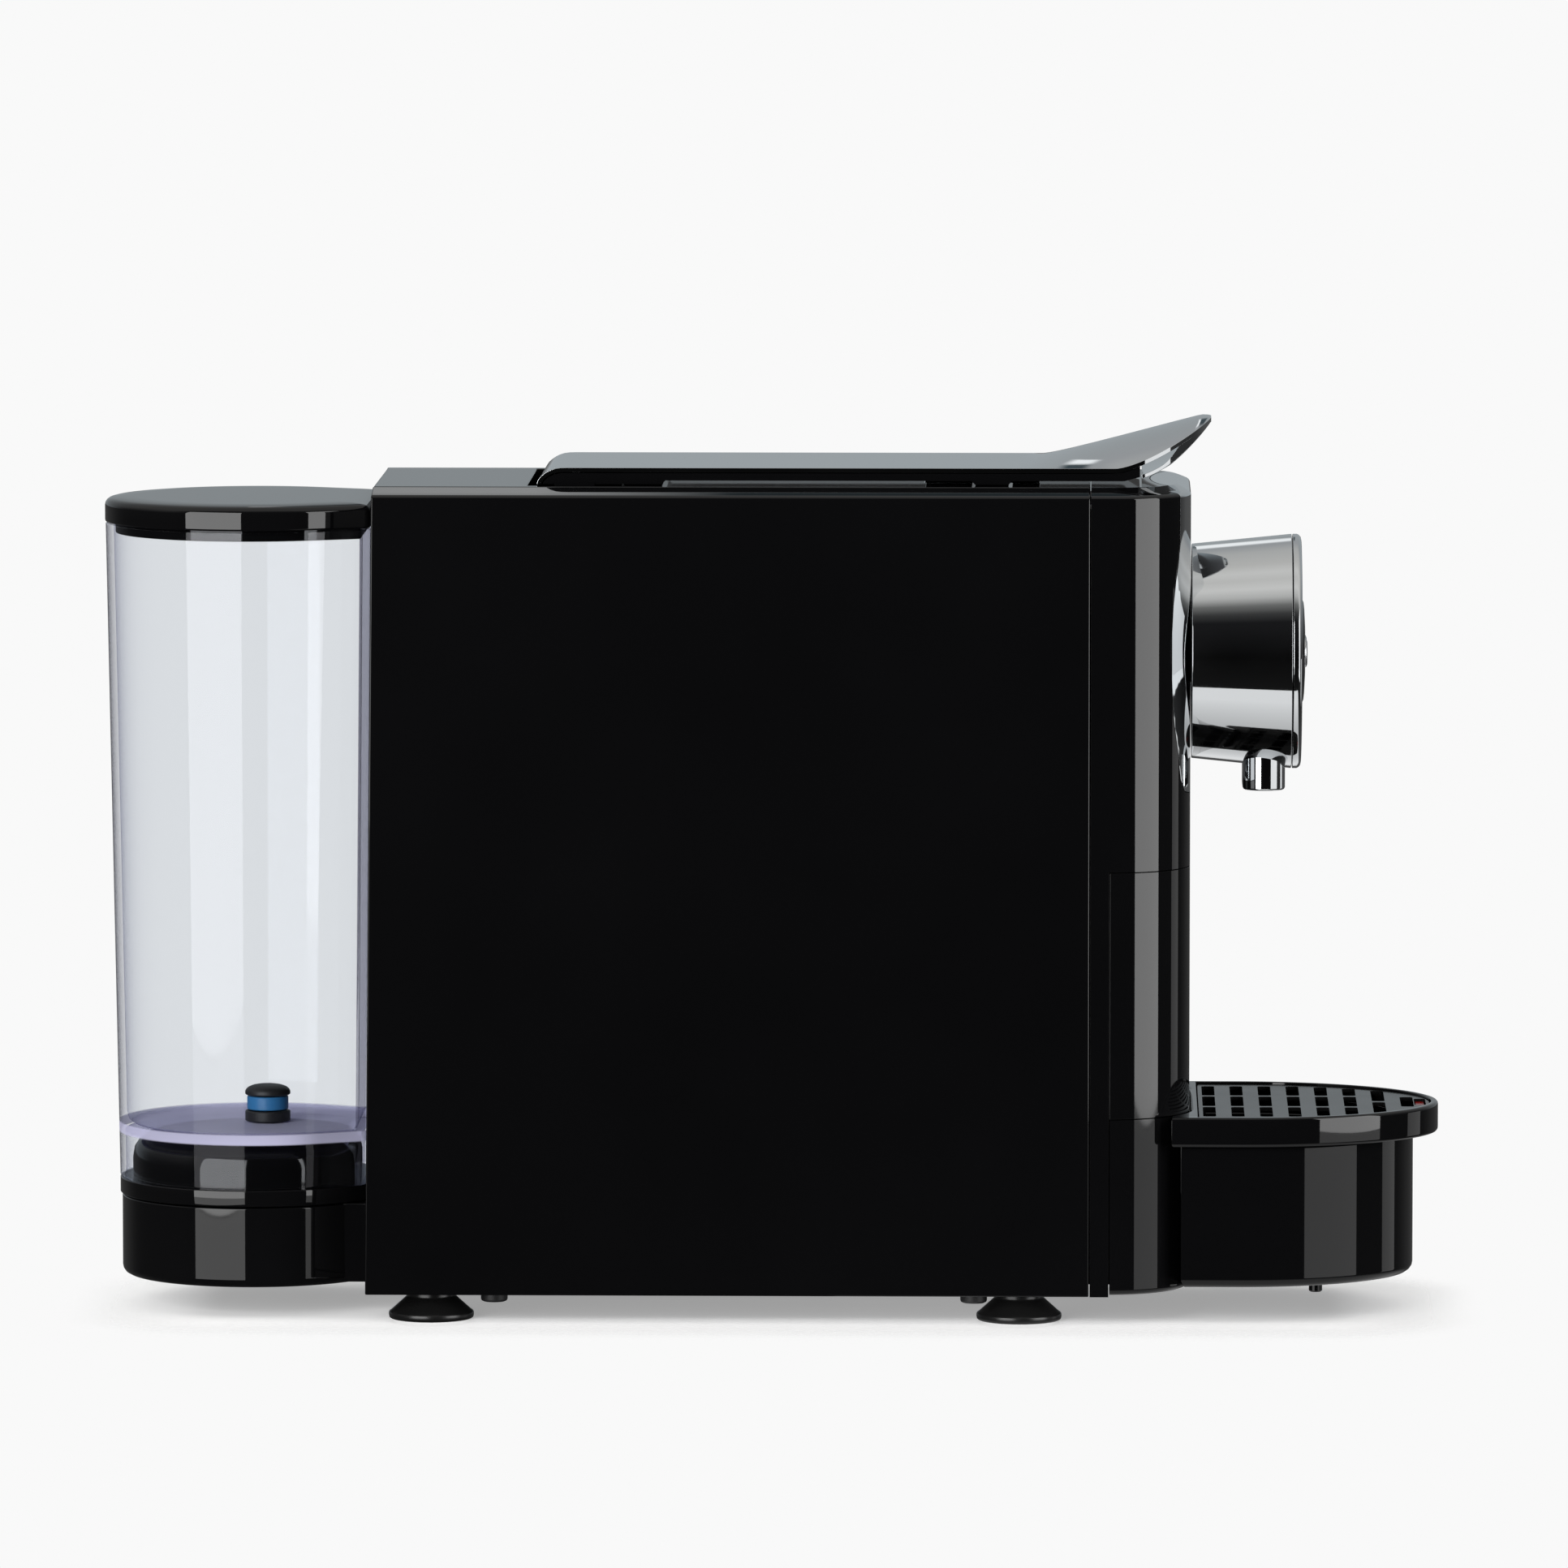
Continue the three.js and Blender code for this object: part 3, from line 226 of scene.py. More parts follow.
MATERIALS = {
    "gloss_black": finish("gloss_black", (0.0022, 0.0022, 0.0024), (0.0038, 0.0038, 0.0042), (0.02, 0.04), 25, 0.004,
                          ior=1.42),
    "matt_black": finish("matt_black", (0.004, 0.004, 0.004), (0.008, 0.008, 0.008), (0.10, 0.16), 900, 0.006, ior=1.2),
    "satin_black": finish("satin_black", (0.010, 0.010, 0.011), (0.016, 0.016, 0.017), (0.38, 0.5), 2600, 0.02),
    "chrome": finish("chrome", (0.70, 0.72, 0.735), (0.75, 0.77, 0.785), (0.03, 0.06), 30, 0.003, metallic=1.0),
    "clear_plastic": clear_plastic("clear_plastic", (0.934, 0.943, 0.953), (0.68, 0.69, 0.76)),
    "rubber": finish("rubber", (0.004, 0.004, 0.004), (0.009, 0.009, 0.009), (0.24, 0.36), 1800, 0.01),
    "steel": brushed("steel", (0.46, 0.47, 0.48), (0.6, 0.61, 0.62), (0.2, 0.34), (1, 8, 8)),
    "cast_aluminium": finish("cast_aluminium", (0.42, 0.43, 0.44), (0.58, 0.59, 0.6), (0.4, 0.6), 900, 0.08,
                             metallic=1.0),
    "white_plastic": finish("white_plastic", (0.62, 0.62, 0.6), (0.7, 0.7, 0.68), (0.35, 0.5), 1500, 0.02),
    "silicone_hose": finish("silicone_hose", (0.5, 0.52, 0.54), (0.62, 0.64, 0.66), (0.3, 0.45), 400, 0.03),
    "circuit_board": circuit_board("circuit_board"),
    "blue_seal": finish("blue_seal", (0.02, 0.13, 0.32), (0.04, 0.2, 0.42), (0.3, 0.45), 900, 0.02),
    "red_float": finish("red_float", (0.30, 0.008, 0.006), (0.42, 0.014, 0.010), (0.12, 0.2), 200, 0.01),
    "brass": finish("brass", (0.5, 0.33, 0.12), (0.62, 0.44, 0.18), (0.25, 0.4), 700, 0.02, metallic=1.0),
}

# ---------------------------------------------------------------- mesh helpers

def clamped(share):
    return min(1, max(0, share))


def arc(cx, cy, r, start, end, n):
    """Points on an arc in degrees, with both ends."""
    turns = [math.radians(start + (end - start) * i / n) for i in range(n + 1)]
    return [(cx + r * math.cos(a), cy + r * math.sin(a)) for a in turns]


def loft(rings, closed=False):
    """A skin over rings with equal counts of points. Open lofts get a flat face at each end."""
    n = len(rings[0])
    count = len(rings)
    verts = [p for ring in rings for p in ring]
    faces = []
    for k in range(count if closed else count - 1):
        a, b = k * n, (k + 1) % count * n
        faces += [(a + i, a + (i + 1) % n, b + (i + 1) % n, b + i) for i in range(n)]
    if not closed:
        faces += [tuple(range(n))[::-1], tuple(range((count - 1) * n, count * n))]
    return verts, faces


AXES = {"x": lambda a, b, h: (h, a, b), "z": lambda a, b, h: (a, b, h)}


def lathe(profile, axis="z", centre=(0, 0, 0), sides=96):
    """A body of revolution from (radius, height) pairs. It closes on itself unless it starts on the axis."""
    angles = [2 * math.pi * i / sides for i in range(sides)]
    place = lambda a, b, h: tuple(c + v for c, v in zip(centre, AXES[axis](a, b, h)))
    ring_of = lambda r, h: [place(r * math.cos(a), r * math.sin(a), h) for a in angles]
    if profile[0][0] > 0:
        return loft([ring_of(r, h) for r, h in profile], closed=True)
    verts, faces = loft([ring_of(r, h) for r, h in profile[1:-1]])
    faces = faces[:-2]
    last = len(verts) - sides
    verts += [place(0, 0, profile[0][1]), place(0, 0, profile[-1][1])]
    for i in range(sides):
        j = (i + 1) % sides
        faces += [(len(verts) - 2, j, i), (len(verts) - 1, last + i, last + j)]
    return verts, faces


def prism(outline, low, high, plane="plan"):
    """An outline pushed from low to high: plan is (x, y), side is (x, z) and front is (y, z)."""
    put = {"plan": AXES["z"], "side": lambda a, b, h: (a, h, b), "front": AXES["x"]}[plane]
    return loft([[put(a, b, h) for a, b in outline] for h in (low, high)])


def block(x, y, z):
    """A box from its (low, high) along each axis."""
    return prism([(x[0], y[0]), (x[1], y[0]), (x[1], y[1]), (x[0], y[1])], z[0], z[1])


def rounded(x, y, r, n=6):
    """A rectangle with round corners, as an outline."""
    return (arc(x[1] - r, y[0] + r, r, -90, 0, n) + arc(x[1] - r, y[1] - r, r, 0, 90, n)
            + arc(x[0] + r, y[1] - r, r, 90, 180, n) + arc(x[0] + r, y[0] + r, r, 180, 270, n))


def together(*shapes):
    """Several shapes as one."""
    verts, faces = [], []
    for v, f in shapes:
        faces += [tuple(i + len(verts) for i in face) for face in f]
        verts += v
    return verts, faces


def mesh_object(name, shape):
    """An object made from (vertices, faces), with its normals turned outward."""
    verts, faces = shape
    mesh = bpy.data.meshes.new(name)
    mesh.from_pydata([[c * MM for c in v] for v in verts], [], faces)
    mesh.validate()
    made = bpy.data.objects.new(name, mesh)
    bpy.context.scene.collection.objects.link(made)
    bpy.context.view_layer.objects.active = made
    for o in bpy.context.selected_objects:
        o.select_set(False)
    made.select_set(True)
    bpy.ops.object.mode_set(mode="EDIT")
    bpy.ops.mesh.select_all(action="SELECT")
    bpy.ops.mesh.normals_make_consistent(inside=False)
    bpy.ops.object.mode_set(mode="OBJECT")
    return made


def carve(base, *changes):
    """Applies boolean steps to an object: each is (operation, shape or object)."""
    for operation, shape in changes:
        tool = shape if isinstance(shape, bpy.types.Object) else mesh_object("tool", shape)
        step = base.modifiers.new("step", "BOOLEAN")
        step.operation, step.object, step.solver = operation, tool, "EXACT"
        bpy.context.view_layer.update()
        whole = bpy.data.meshes.new_from_object(base.evaluated_get(bpy.context.evaluated_depsgraph_get()))
        base.modifiers.clear()
        base.data = whole
        bpy.data.objects.remove(tool)
    return base


def merge(*things):
    """Several objects as one."""
    with bpy.context.temp_override(active_object=things[0], selected_editable_objects=list(things)):
        bpy.ops.object.join()
    return things[0]


def soften(thing, width, segments=3, angle=32):
    """Smooth shading, with the edges sharper than the angle rounded off."""
    thing.data.shade_smooth()
    edge = thing.modifiers.new("edges", "BEVEL")
    edge.width, edge.segments = width * MM, segments
    edge.limit_method, edge.angle_limit = "ANGLE", math.radians(angle)
    edge.harden_normals = True
    edge.use_clamp_overlap = True
    edge.miter_outer = "MITER_ARC"
    normals = thing.modifiers.new("normals", "WEIGHTED_NORMAL")
    normals.keep_sharp = True
    return thing


def dress(thing, body, slot):
    """Gives an object the material of its slot and attaches it to its body."""
    thing.data.materials.clear()
    thing.data.materials.append(MATERIALS[slot])
    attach(thing, body)
    return thing


def stand_in(node, shape, *changes, edge=0.4, segments=3, angle=32):
    """A finished piece that stands for a CAD node, from a shape or an object."""
    made = carve(shape if isinstance(shape, bpy.types.Object) else mesh_object("base", shape), *changes)
    made.name = node + "_piece"
    soften(made, edge, segments, angle)
    dress(made, frame["nodes"][node]["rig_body"], SLOT_OF[node])
    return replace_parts(made, node)


def detail(name, shape, node, slot, edge):
    """A small piece that goes with a CAD node."""
    made = soften(mesh_object(name, shape), edge)
    return dress(made, frame["nodes"][node]["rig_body"], slot)


# ---------------------------------------------------------------- outlines that follow the CAD model

BASE = corners("right_side_panel")[0][2]
SEAM, HALF, _ = corners("left_side_panel")[1]
FRONT, _, TOP = corners("front_cover")[1]
CORNER, WALL = 25, 2.5
BAY_X, BIN_TOP = SEAM + 6.15, corners("capsule_bin")[1][2]
HEAD_Z = sum(c[2] for c in corners("head_bezel")) / 2
HEAD = (0, 0, HEAD_Z)
VALVE_X = sum(c[0] for c in corners("tank_valve_cap")) / 2


def rear_x(z):
    """Outside of the leaning back at a height."""
    foot_x, lean, rise = -120.1, 2.5, 240.5
    return foot_x + lean * (z - 8.5) / rise


def front_plan(back, half, front, r, n=28):
    """Plan of the body's front end. Where the back edge lies within the corners, they start part of the way round."""
    cx = front - r
    start = math.degrees(math.acos((back - cx) / r)) if back > cx else 90
    turn = arc(cx, -half + r, r, -start, 0, n) + arc(cx, half - r, r, 0, start, n)
    return turn if back > cx else [(back, -half)] + turn + [(back, half)]


# The soft bevel round the body's top: how far each ring lies below the top, in from the sides and back from the front.
BEVEL_STEPS = [(3.1, 0, 0), (2.7, 0.07, 0.05), (2.35, 0.27, 0.2), (2.05, 0.65, 0.4), (1.8, 1.2, 0.65),
               (1.25, 4.0, 1.6), (0.65, 7.0, 2.8), (0.15, 9.5, 4.0), (0.0, 10.0, 4.6)]


def front_block(back, base, inset):
    """The body's front end as a solid, shrunk by an inset, with the soft bevel that runs round its top."""
    top = TOP - inset

    def ring(z, side, ahead):
        plan = front_plan(back, HALF - inset - side, FRONT - inset - ahead, CORNER - inset - ahead)
        return [(x, y, z) for x, y in plan]

    return loft([ring(base, 0, 0)] + [ring(top - drop, side, ahead) for drop, side, ahead in BEVEL_STEPS])


def trim_region(grow):
    """The outline of the bright inlay seen from the front, and its rounded tongue on the top."""
    shield = [(0, 157.5 - grow), (30, 157.5 - grow), (33.6 + grow * 0.7, 158.2 - grow), (36.2 + grow, 161.5),
              (37.3 + grow, 167), (38.5 + grow, 172.5), (39.6 + grow, 178), (40.3 + grow, 184), (40.7 + grow, 192),
              (40.7 + grow, 206), (40.2 + grow, 214), (39.2 + grow, 221), (38 + grow, 226.5), (37.4 + grow, 231),
              (37.2 + grow, TOP - 1.2)]
    face = prism(shield + [(-y, z) for y, z in reversed(shield[1:])], 117.5, 130, "front")
    tongue = [(FRONT + (12 + grow) * x, (36 + grow) * y) for x, y in arc(0, 0, 1, 0, 360, 96)[:-1]]
    return face, prism(tongue, TOP - 6, TOP + 3)


def tray_plan(start, half, bend, tip, inset=0.0, n=72, notch=None):
    """Plan of the tray: straight sides and a half ellipse, with a back edge that may be hollowed to clear the body."""
    ellipse = [(bend + (tip - inset - bend) * x, (half - inset) * y) for x, y in arc(0, 0, 1, -90, 90, n)]
    back = [(start, half - inset - 2 * (half - inset) * i / 40) for i in range(41)]
    if notch is not None:
        r = CORNER + notch
        cx, flat = FRONT - CORNER, HALF - CORNER
        reach = lambda y: cx + (r if abs(y) < flat else math.sqrt(max(0, r * r - (abs(y) - flat) ** 2)))
        back = [(max(start, reach(y)), y) for _, y in back]
    return ellipse + back


def shoulder_plan(r, flat, corner=3.0, n=100):
    """Plan of the tank and its lid: straight shoulders run from the circle to small round corners at the flat."""
    x0, lean = TANK_X, 63
    c, s = math.cos(math.radians(lean)), math.sin(math.radians(lean))
    cx = flat - corner
    cy = (r - corner - (cx - x0) * c) / s
    return (arc(cx, cy, corner, 0, lean, 8) + arc(x0, 0, r, lean, 360 - lean, n) + arc(cx, -cy, corner, -lean, 0, 8))


def tank_plan(r, flat, corner=3.0, n=110):
    """Plan of the dock: a circle cut off flat behind the body, with small round corners."""
    x0 = TANK_X
    reach = min(flat - x0, r * 0.98)
    cx = reach - corner
    cy = math.sqrt(max(0.0, (r - corner) ** 2 - cx * cx))
    turn = math.degrees(math.atan2(cy, cx))
    return (arc(x0 + cx, cy, corner, 0, turn, 8) + arc(x0, 0, r, turn, 360 - turn, n)[1:-1]
            + arc(x0 + cx, -cy, corner, -turn, 0, 8))


# ---------------------------------------------------------------- body

# Every CAD piece gets its material, welded points and rounded edges. The ones seen most are then replaced.
for node, body_object in frame["nodes"].items():
    mesh = body_object.data
    if "custom_normal" in mesh.attributes:
        mesh.attributes.remove(mesh.attributes["custom_normal"])
    weld = body_object.modifiers.new("weld", "WELD")
    weld.merge_threshold = 2e-6
    mesh.materials.clear()
    mesh.materials.append(MATERIALS[SLOT_OF[node]])
    soften(body_object, 0.35, 2, 35)


def front_skin(outside, inside, grow):
    """The part of a skin over the front that lies within the bright inlay's outline."""
    face, tongue = trim_region(grow)
    region = carve(mesh_object("region", face), ("UNION", tongue))
    return carve(mesh_object("skin", front_block(SEAM + 0.3, BIN_TOP + 0.3, outside)),
                 ("DIFFERENCE", front_block(SEAM - 5, BIN_TOP - 5, inside)), ("INTERSECT", region))


def side_panel(side):
    """A body panel from the leaning back to the seam, with the bevel along its top."""
    profile = [(HALF, BASE)] + [(HALF - inward, TOP - drop) for drop, inward, _ in BEVEL_STEPS]
    profile += [(HALF - 10, TOP - WALL), (HALF - WALL, TOP - 4.8), (HALF - WALL, BASE)]
    return loft([[(back(z), side * y, z) for y, z in profile] for back in (rear_x, lambda z: SEAM)])


def seam_lip(back, inset):
    """The strip inside the front cover that closes the seam to the side panels."""
    arch = []
    for drop in (inset, 4.2):
        half, top = HALF - drop, TOP - drop
        corner = [(half, 12), (half, top - 3), (half - 1.2, top - 1.8), (half - 10, top)]
        run = corner + [(-y, z) for y, z in reversed(corner)]
        arch += run if drop == inset else run[::-1]
    return prism(arch, back, SEAM + 1.75, "front")


stand_in("right_side_panel", side_panel(-1), edge=0.4)
stand_in("left_side_panel", side_panel(1), edge=0.4)
outlet_way = lathe([(0, 110), (12, 110), (12, 130), (0, 130)], "x", HEAD, 64)
cover = carve(mesh_object("cover", front_block(SEAM + 0.3, BASE, 0)),
              ("DIFFERENCE", front_block(SEAM - 5, BASE - 5, WALL)),
              ("DIFFERENCE", block((BAY_X - 0.3, 140), (-60, 60), (0, BIN_TOP + 0.3))),
              ("DIFFERENCE", front_skin(-1, 1.5, 0.3)), ("DIFFERENCE", outlet_way))
lips = mesh_object("lips", together(seam_lip(SEAM - 0.95, 2.8), seam_lip(SEAM + 0.6, 2.2)))
stand_in("front_cover", merge(cover, lips), edge=0.45, angle=40)
stand_in("front_trim", front_skin(0, 1.2, 0), ("DIFFERENCE", outlet_way), edge=0.3, angle=40)

# ---------------------------------------------------------------- brewing head

(ROOT_X, _, _), (SHELL_X, SHELL_R, _) = corners("head_shell")
BEZEL_X = corners("head_bezel")[1][0]
BUTTON_X = corners("button_short")[1][0]
ROOT_R, SHELL_WALL = 32.1, 2
BUTTON_Y = 6.6
stand_in("head_shell", lathe([(ROOT_R, ROOT_X), (SHELL_R, SHELL_X), (SHELL_R - SHELL_WALL, SHELL_X), (ROOT_R - SHELL_WALL, ROOT_X)],
                             "x", HEAD, 160), edge=0.25)
stand_in("head_bezel", lathe(
    [(SHELL_R, SHELL_X + 0.3), (SHELL_R, BEZEL_X - 1.3), (SHELL_R - 0.3, BEZEL_X - 0.7), (SHELL_R - 0.9, BEZEL_X - 0.2),
     (SHELL_R - 1.8, BEZEL_X), (SHELL_R - 2.6, BEZEL_X - 0.15), (SHELL_R - 3.2, BEZEL_X - 0.6), (SHELL_R - 3.6, BEZEL_X - 0.8),
     (22, BEZEL_X - 0.45), (16.3, BEZEL_X - 0.8), (16.3, SHELL_X + 0.3)], "x", HEAD, 160), edge=0.15, angle=50)
disc = lathe([(0, SHELL_X + 0.3), (16, SHELL_X + 0.3), (16, BEZEL_X - 0.3), (15.6, BEZEL_X + 0.3), (14.6, BEZEL_X + 0.75),
              (12.8, BEZEL_X + 0.95), (8, BEZEL_X + 1.2), (0, BEZEL_X + 1.3)], "x", HEAD, 96)
holes = [lathe([(0, 150), (4.7, 150), (4.7, 165), (0, 165)], "x", (0, side * BUTTON_Y, HEAD_Z), 48) for side in (-1, 1)]
stand_in("control_disc", disc, *[("DIFFERENCE", hole) for hole in holes], edge=0.15, angle=40)
for node, side, mark in (("button_short", -1, 1.1), ("button_long", 1, 1.9)):
    centre = (0, side * BUTTON_Y, HEAD_Z)
    stand_in(node, lathe([(0, SHELL_X + 1), (4.4, SHELL_X + 1), (4.4, BUTTON_X - 0.9), (4.1, BUTTON_X - 0.45),
                          (3.4, BUTTON_X - 0.2), (1.6, BUTTON_X - 0.45), (0, BUTTON_X - 0.55)], "x", centre, 64),
             edge=0.1, angle=50)
    detail(node + "_mark", lathe([(0, BUTTON_X - 0.7), (mark, BUTTON_X - 0.7), (mark, BUTTON_X - 0.4), (0, BUTTON_X - 0.38)],
                                 "x", centre, 40), node, "white_plastic", edge=0.03)

NOZZLE_X = sum(c[0] for c in corners("spout_nozzle")) / 2
NOZZLE_Z = corners("spout_nozzle")[0][2]
NOZZLE = (NOZZLE_X, 0, NOZZLE_Z)
NOZZLE_SPREAD = 8.6


def nozzle_ring(height, r):
    """An outline long across the machine, with round ends."""
    turn = arc(NOZZLE_X, -NOZZLE_SPREAD, r, 180, 360, 28) + arc(NOZZLE_X, NOZZLE_SPREAD, r, 0, 180, 28)
    return [(x, y, NOZZLE_Z + height) for x, y in turn]


spout = loft([nozzle_ring(height, r) for height, r in (
    (0.5, 4.6), (0, 5.1), (0, 5.7), (0.2, 6.1), (0.7, 6.35), (11.6, 6.35), (12.6, 5.6))])
stand_in("spout_nozzle", spout, ("UNION", lathe([(0, 10), (4.6, 10), (4.6, 30.6), (0, 30.6)], "z", NOZZLE, 48)),
         ("DIFFERENCE", lathe([(0, -2), (2.5, -2), (2.5, 32), (0, 32)], "z", NOZZLE, 40)), edge=0.12, angle=40)

# ---------------------------------------------------------------- lever

LEVER_TOP, LEVER_HALF, LEVER_TIP, TIP_TOP = 254.2, 33, 131.6, 268.4
HOOD_FROM, BEND_FROM, BLADE_FROM = 72, 103, 109
HOOD_THICK, BLADE_THICK = 1.3, 1.1


def grip_share(x):
    """How far a place lies along the part that narrows and bends up to the tip, from 0 to 1."""
    return clamped((x - BEND_FROM) / (LEVER_TIP - BEND_FROM))


def lever_half(x):
    """Half width of the lever."""
    return LEVER_HALF * math.sqrt(max(0.004, 1 - grip_share(x) ** 2))


def edge_height(x):
    """Height of the lever's long edges."""
    return LEVER_TOP + (TIP_TOP - 0.6 - LEVER_TOP) * grip_share(x) ** 1.4


def ridge_height(x):
    """Height of the hood's middle, which leaves the flat top in a short curve and drops a little at the tip."""
    slope = 1.075 * (TIP_TOP - LEVER_TOP) / (LEVER_TIP - 2 - HOOD_FROM)
    run, curve = x - HOOD_FROM, 8
    ramp = 0 if run <= 0 else run * run / (2 * curve) if run < curve else run - curve / 2
    tip_drop = 1.2 * clamped((x - LEVER_TIP + 4) / 4) ** 2
    return max(edge_height(x), LEVER_TOP + slope * ramp - tip_drop)


def blade_height(x, s):
    """Underside of the blade at a share of the half width. It sags in the middle."""
    sag = 2.6 * clamped((x - 110) / 9) * (lever_half(x) / LEVER_HALF) ** 2
    return 251 + 15.8 * clamped((x - BLADE_FROM) / (LEVER_TIP - BLADE_FROM)) ** 1.6 - sag * (1 - s * s)


def hood_height(x, s):
    """Upper side of the hood at a share of the half width."""
    return edge_height(x) + (ridge_height(x) - edge_height(x)) * (1 - s * s)


def blade_top(x, s):
    """The blade's upper side, which rises to the hood where the grip's opening ends."""
    low = blade_height(x, s) + BLADE_THICK
    return low + (hood_height(x, s) - 0.4 - low) * clamped((x - 116.5 - 4 * (1 - s * s)) / 6) ** 2


def sheet(stations, across=24):
    """A skin with thickness. Each station gives its half width, and its upper and lower (x, z) by share of that width."""
    shares = [-1 + 2 * i / across for i in range(across + 1)]
    rings = []
    for half, upper, lower in stations:
        above = [(upper(s)[0], s * half, upper(s)[1]) for s in shares]
        below = [(lower(s)[0], s * half, lower(s)[1]) for s in reversed(shares)]
        rings.append(above + below)
    return loft(rings)


def fixed(x, z):
    return lambda s: (x, z)


def surface(x, height, drop=0.0):
    return lambda s: (x, height(x, s) - drop)


def lever_hood():
    """The lever's bright top: a rounded end over the hinge, a flat run and the hood."""
    hinge_end = [(-69.2, 249.3, -68, 249.3), (-68.9, 250.3, -67.6, 250.2), (-68.3, 251.2, -67.1, 250.7),
                 (-67.4, 252.05, -66.5, 251.3), (-66.2, 252.9, -65.6, 251.9), (-65, 253.5, -64.6, 252.35),
                 (-63.6, 253.95, -63.4, 252.7), (-62, 254.15, -62, 252.85), (-60, 254.2, -60, 252.9)]
    flat = [-30 + 25.5 * i for i in range(4)]
    hood = [HOOD_FROM + 1.42 * i for i in range(1, 42)] + [LEVER_TIP - 0.9, LEVER_TIP - 0.3]
    return sheet(
        [(LEVER_HALF, fixed(a, b), fixed(c, d)) for a, b, c, d in hinge_end]
        + [(lever_half(x), surface(x, hood_height), surface(x, hood_height, HOOD_THICK)) for x in flat + hood])


def lever_blade():
    """The lower half of the grip loop."""
    xs = [110.6 + 0.5 * i for i in range(40)] + [LEVER_TIP - 0.7]
    return sheet([(lever_half(x) - 0.3, surface(x, blade_top), surface(x, blade_height)) for x in xs])


stand_in("lever_cover", together(lever_hood(), lever_blade()), edge=0.3, angle=40)

# ---------------------------------------------------------------- water tank and its dock

(_, _, TANK_BASE), (_, _, TANK_RIM) = corners("water_tank")
TANK_FLOOR, TANK_R, TANK_FLARE, TANK_GAP = 54.4, 41, 3.5, 1.2
LID_Z = corners("tank_lid")[1][2]


def tank_ring(z, inset):
    share = clamped((z - TANK_BASE) / (TANK_RIM - TANK_BASE))
    plan = shoulder_plan(TANK_R + TANK_FLARE * share - inset, rear_x(z) - TANK_GAP - inset, max(0.8, 3 - inset))
    return [(x, y, z) for x, y in plan]


stand_in("water_tank", loft(
    [tank_ring(TANK_FLOOR - 2, 1.8), tank_ring(TANK_BASE + 3, 1.8), tank_ring(TANK_BASE, 1.6), tank_ring(TANK_BASE, 0.3),
     tank_ring(TANK_BASE + 0.4, 0)]
    + [tank_ring(TANK_BASE + 0.4 + (TANK_RIM - TANK_BASE - 0.8) * i / 10, 0) for i in range(1, 11)]
    + [tank_ring(TANK_RIM, 0.4), tank_ring(TANK_RIM, 2.0), tank_ring(TANK_RIM - 0.4, 2.4)]
    + [tank_ring(TANK_RIM - 0.4 - (TANK_RIM - TANK_FLOOR - 4) * i / 10, 2.4) for i in range(1, 11)]
    + [tank_ring(TANK_FLOOR + 1.4, 2.9), tank_ring(TANK_FLOOR + 0.3, 4.4), tank_ring(TANK_FLOOR, 6.5)]), edge=0.05, angle=60)


def lid_ring(z, inset):
    plan = shoulder_plan(44.7 - inset, rear_x(TANK_RIM) - TANK_GAP - inset, max(1.0, 3 - inset * 0.5))
    return [(x, y, z) for x, y in plan]


lid_foot = [lid_ring(TANK_RIM + rise, inset) for rise, inset in ((0.3, 0.6), (0.5, 0.1), (0.9, 0))]
lid_crown = [lid_ring(LID_Z - drop, inset) for drop, inset in (
    (2.6, 0), (1.9, 0.15), (1.2, 0.6), (0.7, 1.3), (0.4, 2.4), (0.15, 5), (0, 10))]
lid_plug = [tank_ring(TANK_RIM + rise, inset) for rise, inset in ((-3, 3.0), (-2.8, 2.9), (0.5, 2.9))]
stand_in("tank_lid", together(loft(lid_foot + lid_crown), loft(lid_plug)), edge=0.05, angle=60)

VALVE = (VALVE_X, 0, 0)
for node, profile in {
    "tank_valve_body": [(0, 46.5), (4.3, 46.5), (4.6, 47), (4.6, 54.7), (6.5, 54.7), (6.8, 55), (6.8, 57.6), (6.5, 57.9), (0, 57.9)],
    "tank_valve_seal": [(0, 58.2), (5.9, 58.2), (6.2, 58.5), (6.2, 62), (5.9, 62.3), (0, 62.3)],
    "tank_valve_cap": [(0, 62.6), (6.5, 62.6), (6.8, 62.9), (6.8, 63.7), (6.5, 64.3), (5.8, 64.9), (4.6, 65.4), (3, 65.7), (0, 65.8)],
}.items():
    stand_in(node, lathe(profile, "z", VALVE, 64), edge=0.08, angle=40)

DOCK_Z = corners("tank_dock")[0][2]


def dock_ring(z, r, back):
    return [(x, y, z) for x, y in tank_plan(r, rear_x(DOCK_Z) - 0.8 - back, 3)]


dock_band = [dock_ring(*ring) for ring in ((33.5, 40.7, 0.3), (33.8, 41, 0), (38.1, 41, 0), (38.4, 40.7, 0.3))]
dock_boss = [dock_ring(*ring) for ring in (
    (37.4, 37.2, 4), (44, 37.2, 4), (47, 36.7, 4.5), (49.2, 35.3, 6), (50.8, 33.2, 8), (51.7, 30.6, 10.6), (52, 28.2, 12))]
stand_in("tank_dock", loft(dock_band), ("UNION", loft(dock_boss)),
         ("DIFFERENCE", lathe([(0, 40), (6.2, 40), (6.2, 60), (0, 60)], "z", VALVE, 64)), edge=0.1, angle=50)

drum = lathe([(0, 9), (37.4, 9), (38.6, 9.15), (39.6, 9.7), (40.2, 10.6), (DRUM_R, 11.6), (DRUM_R, DOCK_Z - 0.9),
              (40.1, DOCK_Z - 0.4), (0, DOCK_Z - 0.3)], "z", (TANK_X, 0, 0), 144)
neck = prism([(rear_x(z) - 0.4, z) for z in (9.6, DOCK_Z - 0.3)] + [(-140, DOCK_Z - 0.3), (-140, 9.6)], -29, 29, "side")
stand_in("tank_platform", together(drum, neck), edge=0.3, angle=50)

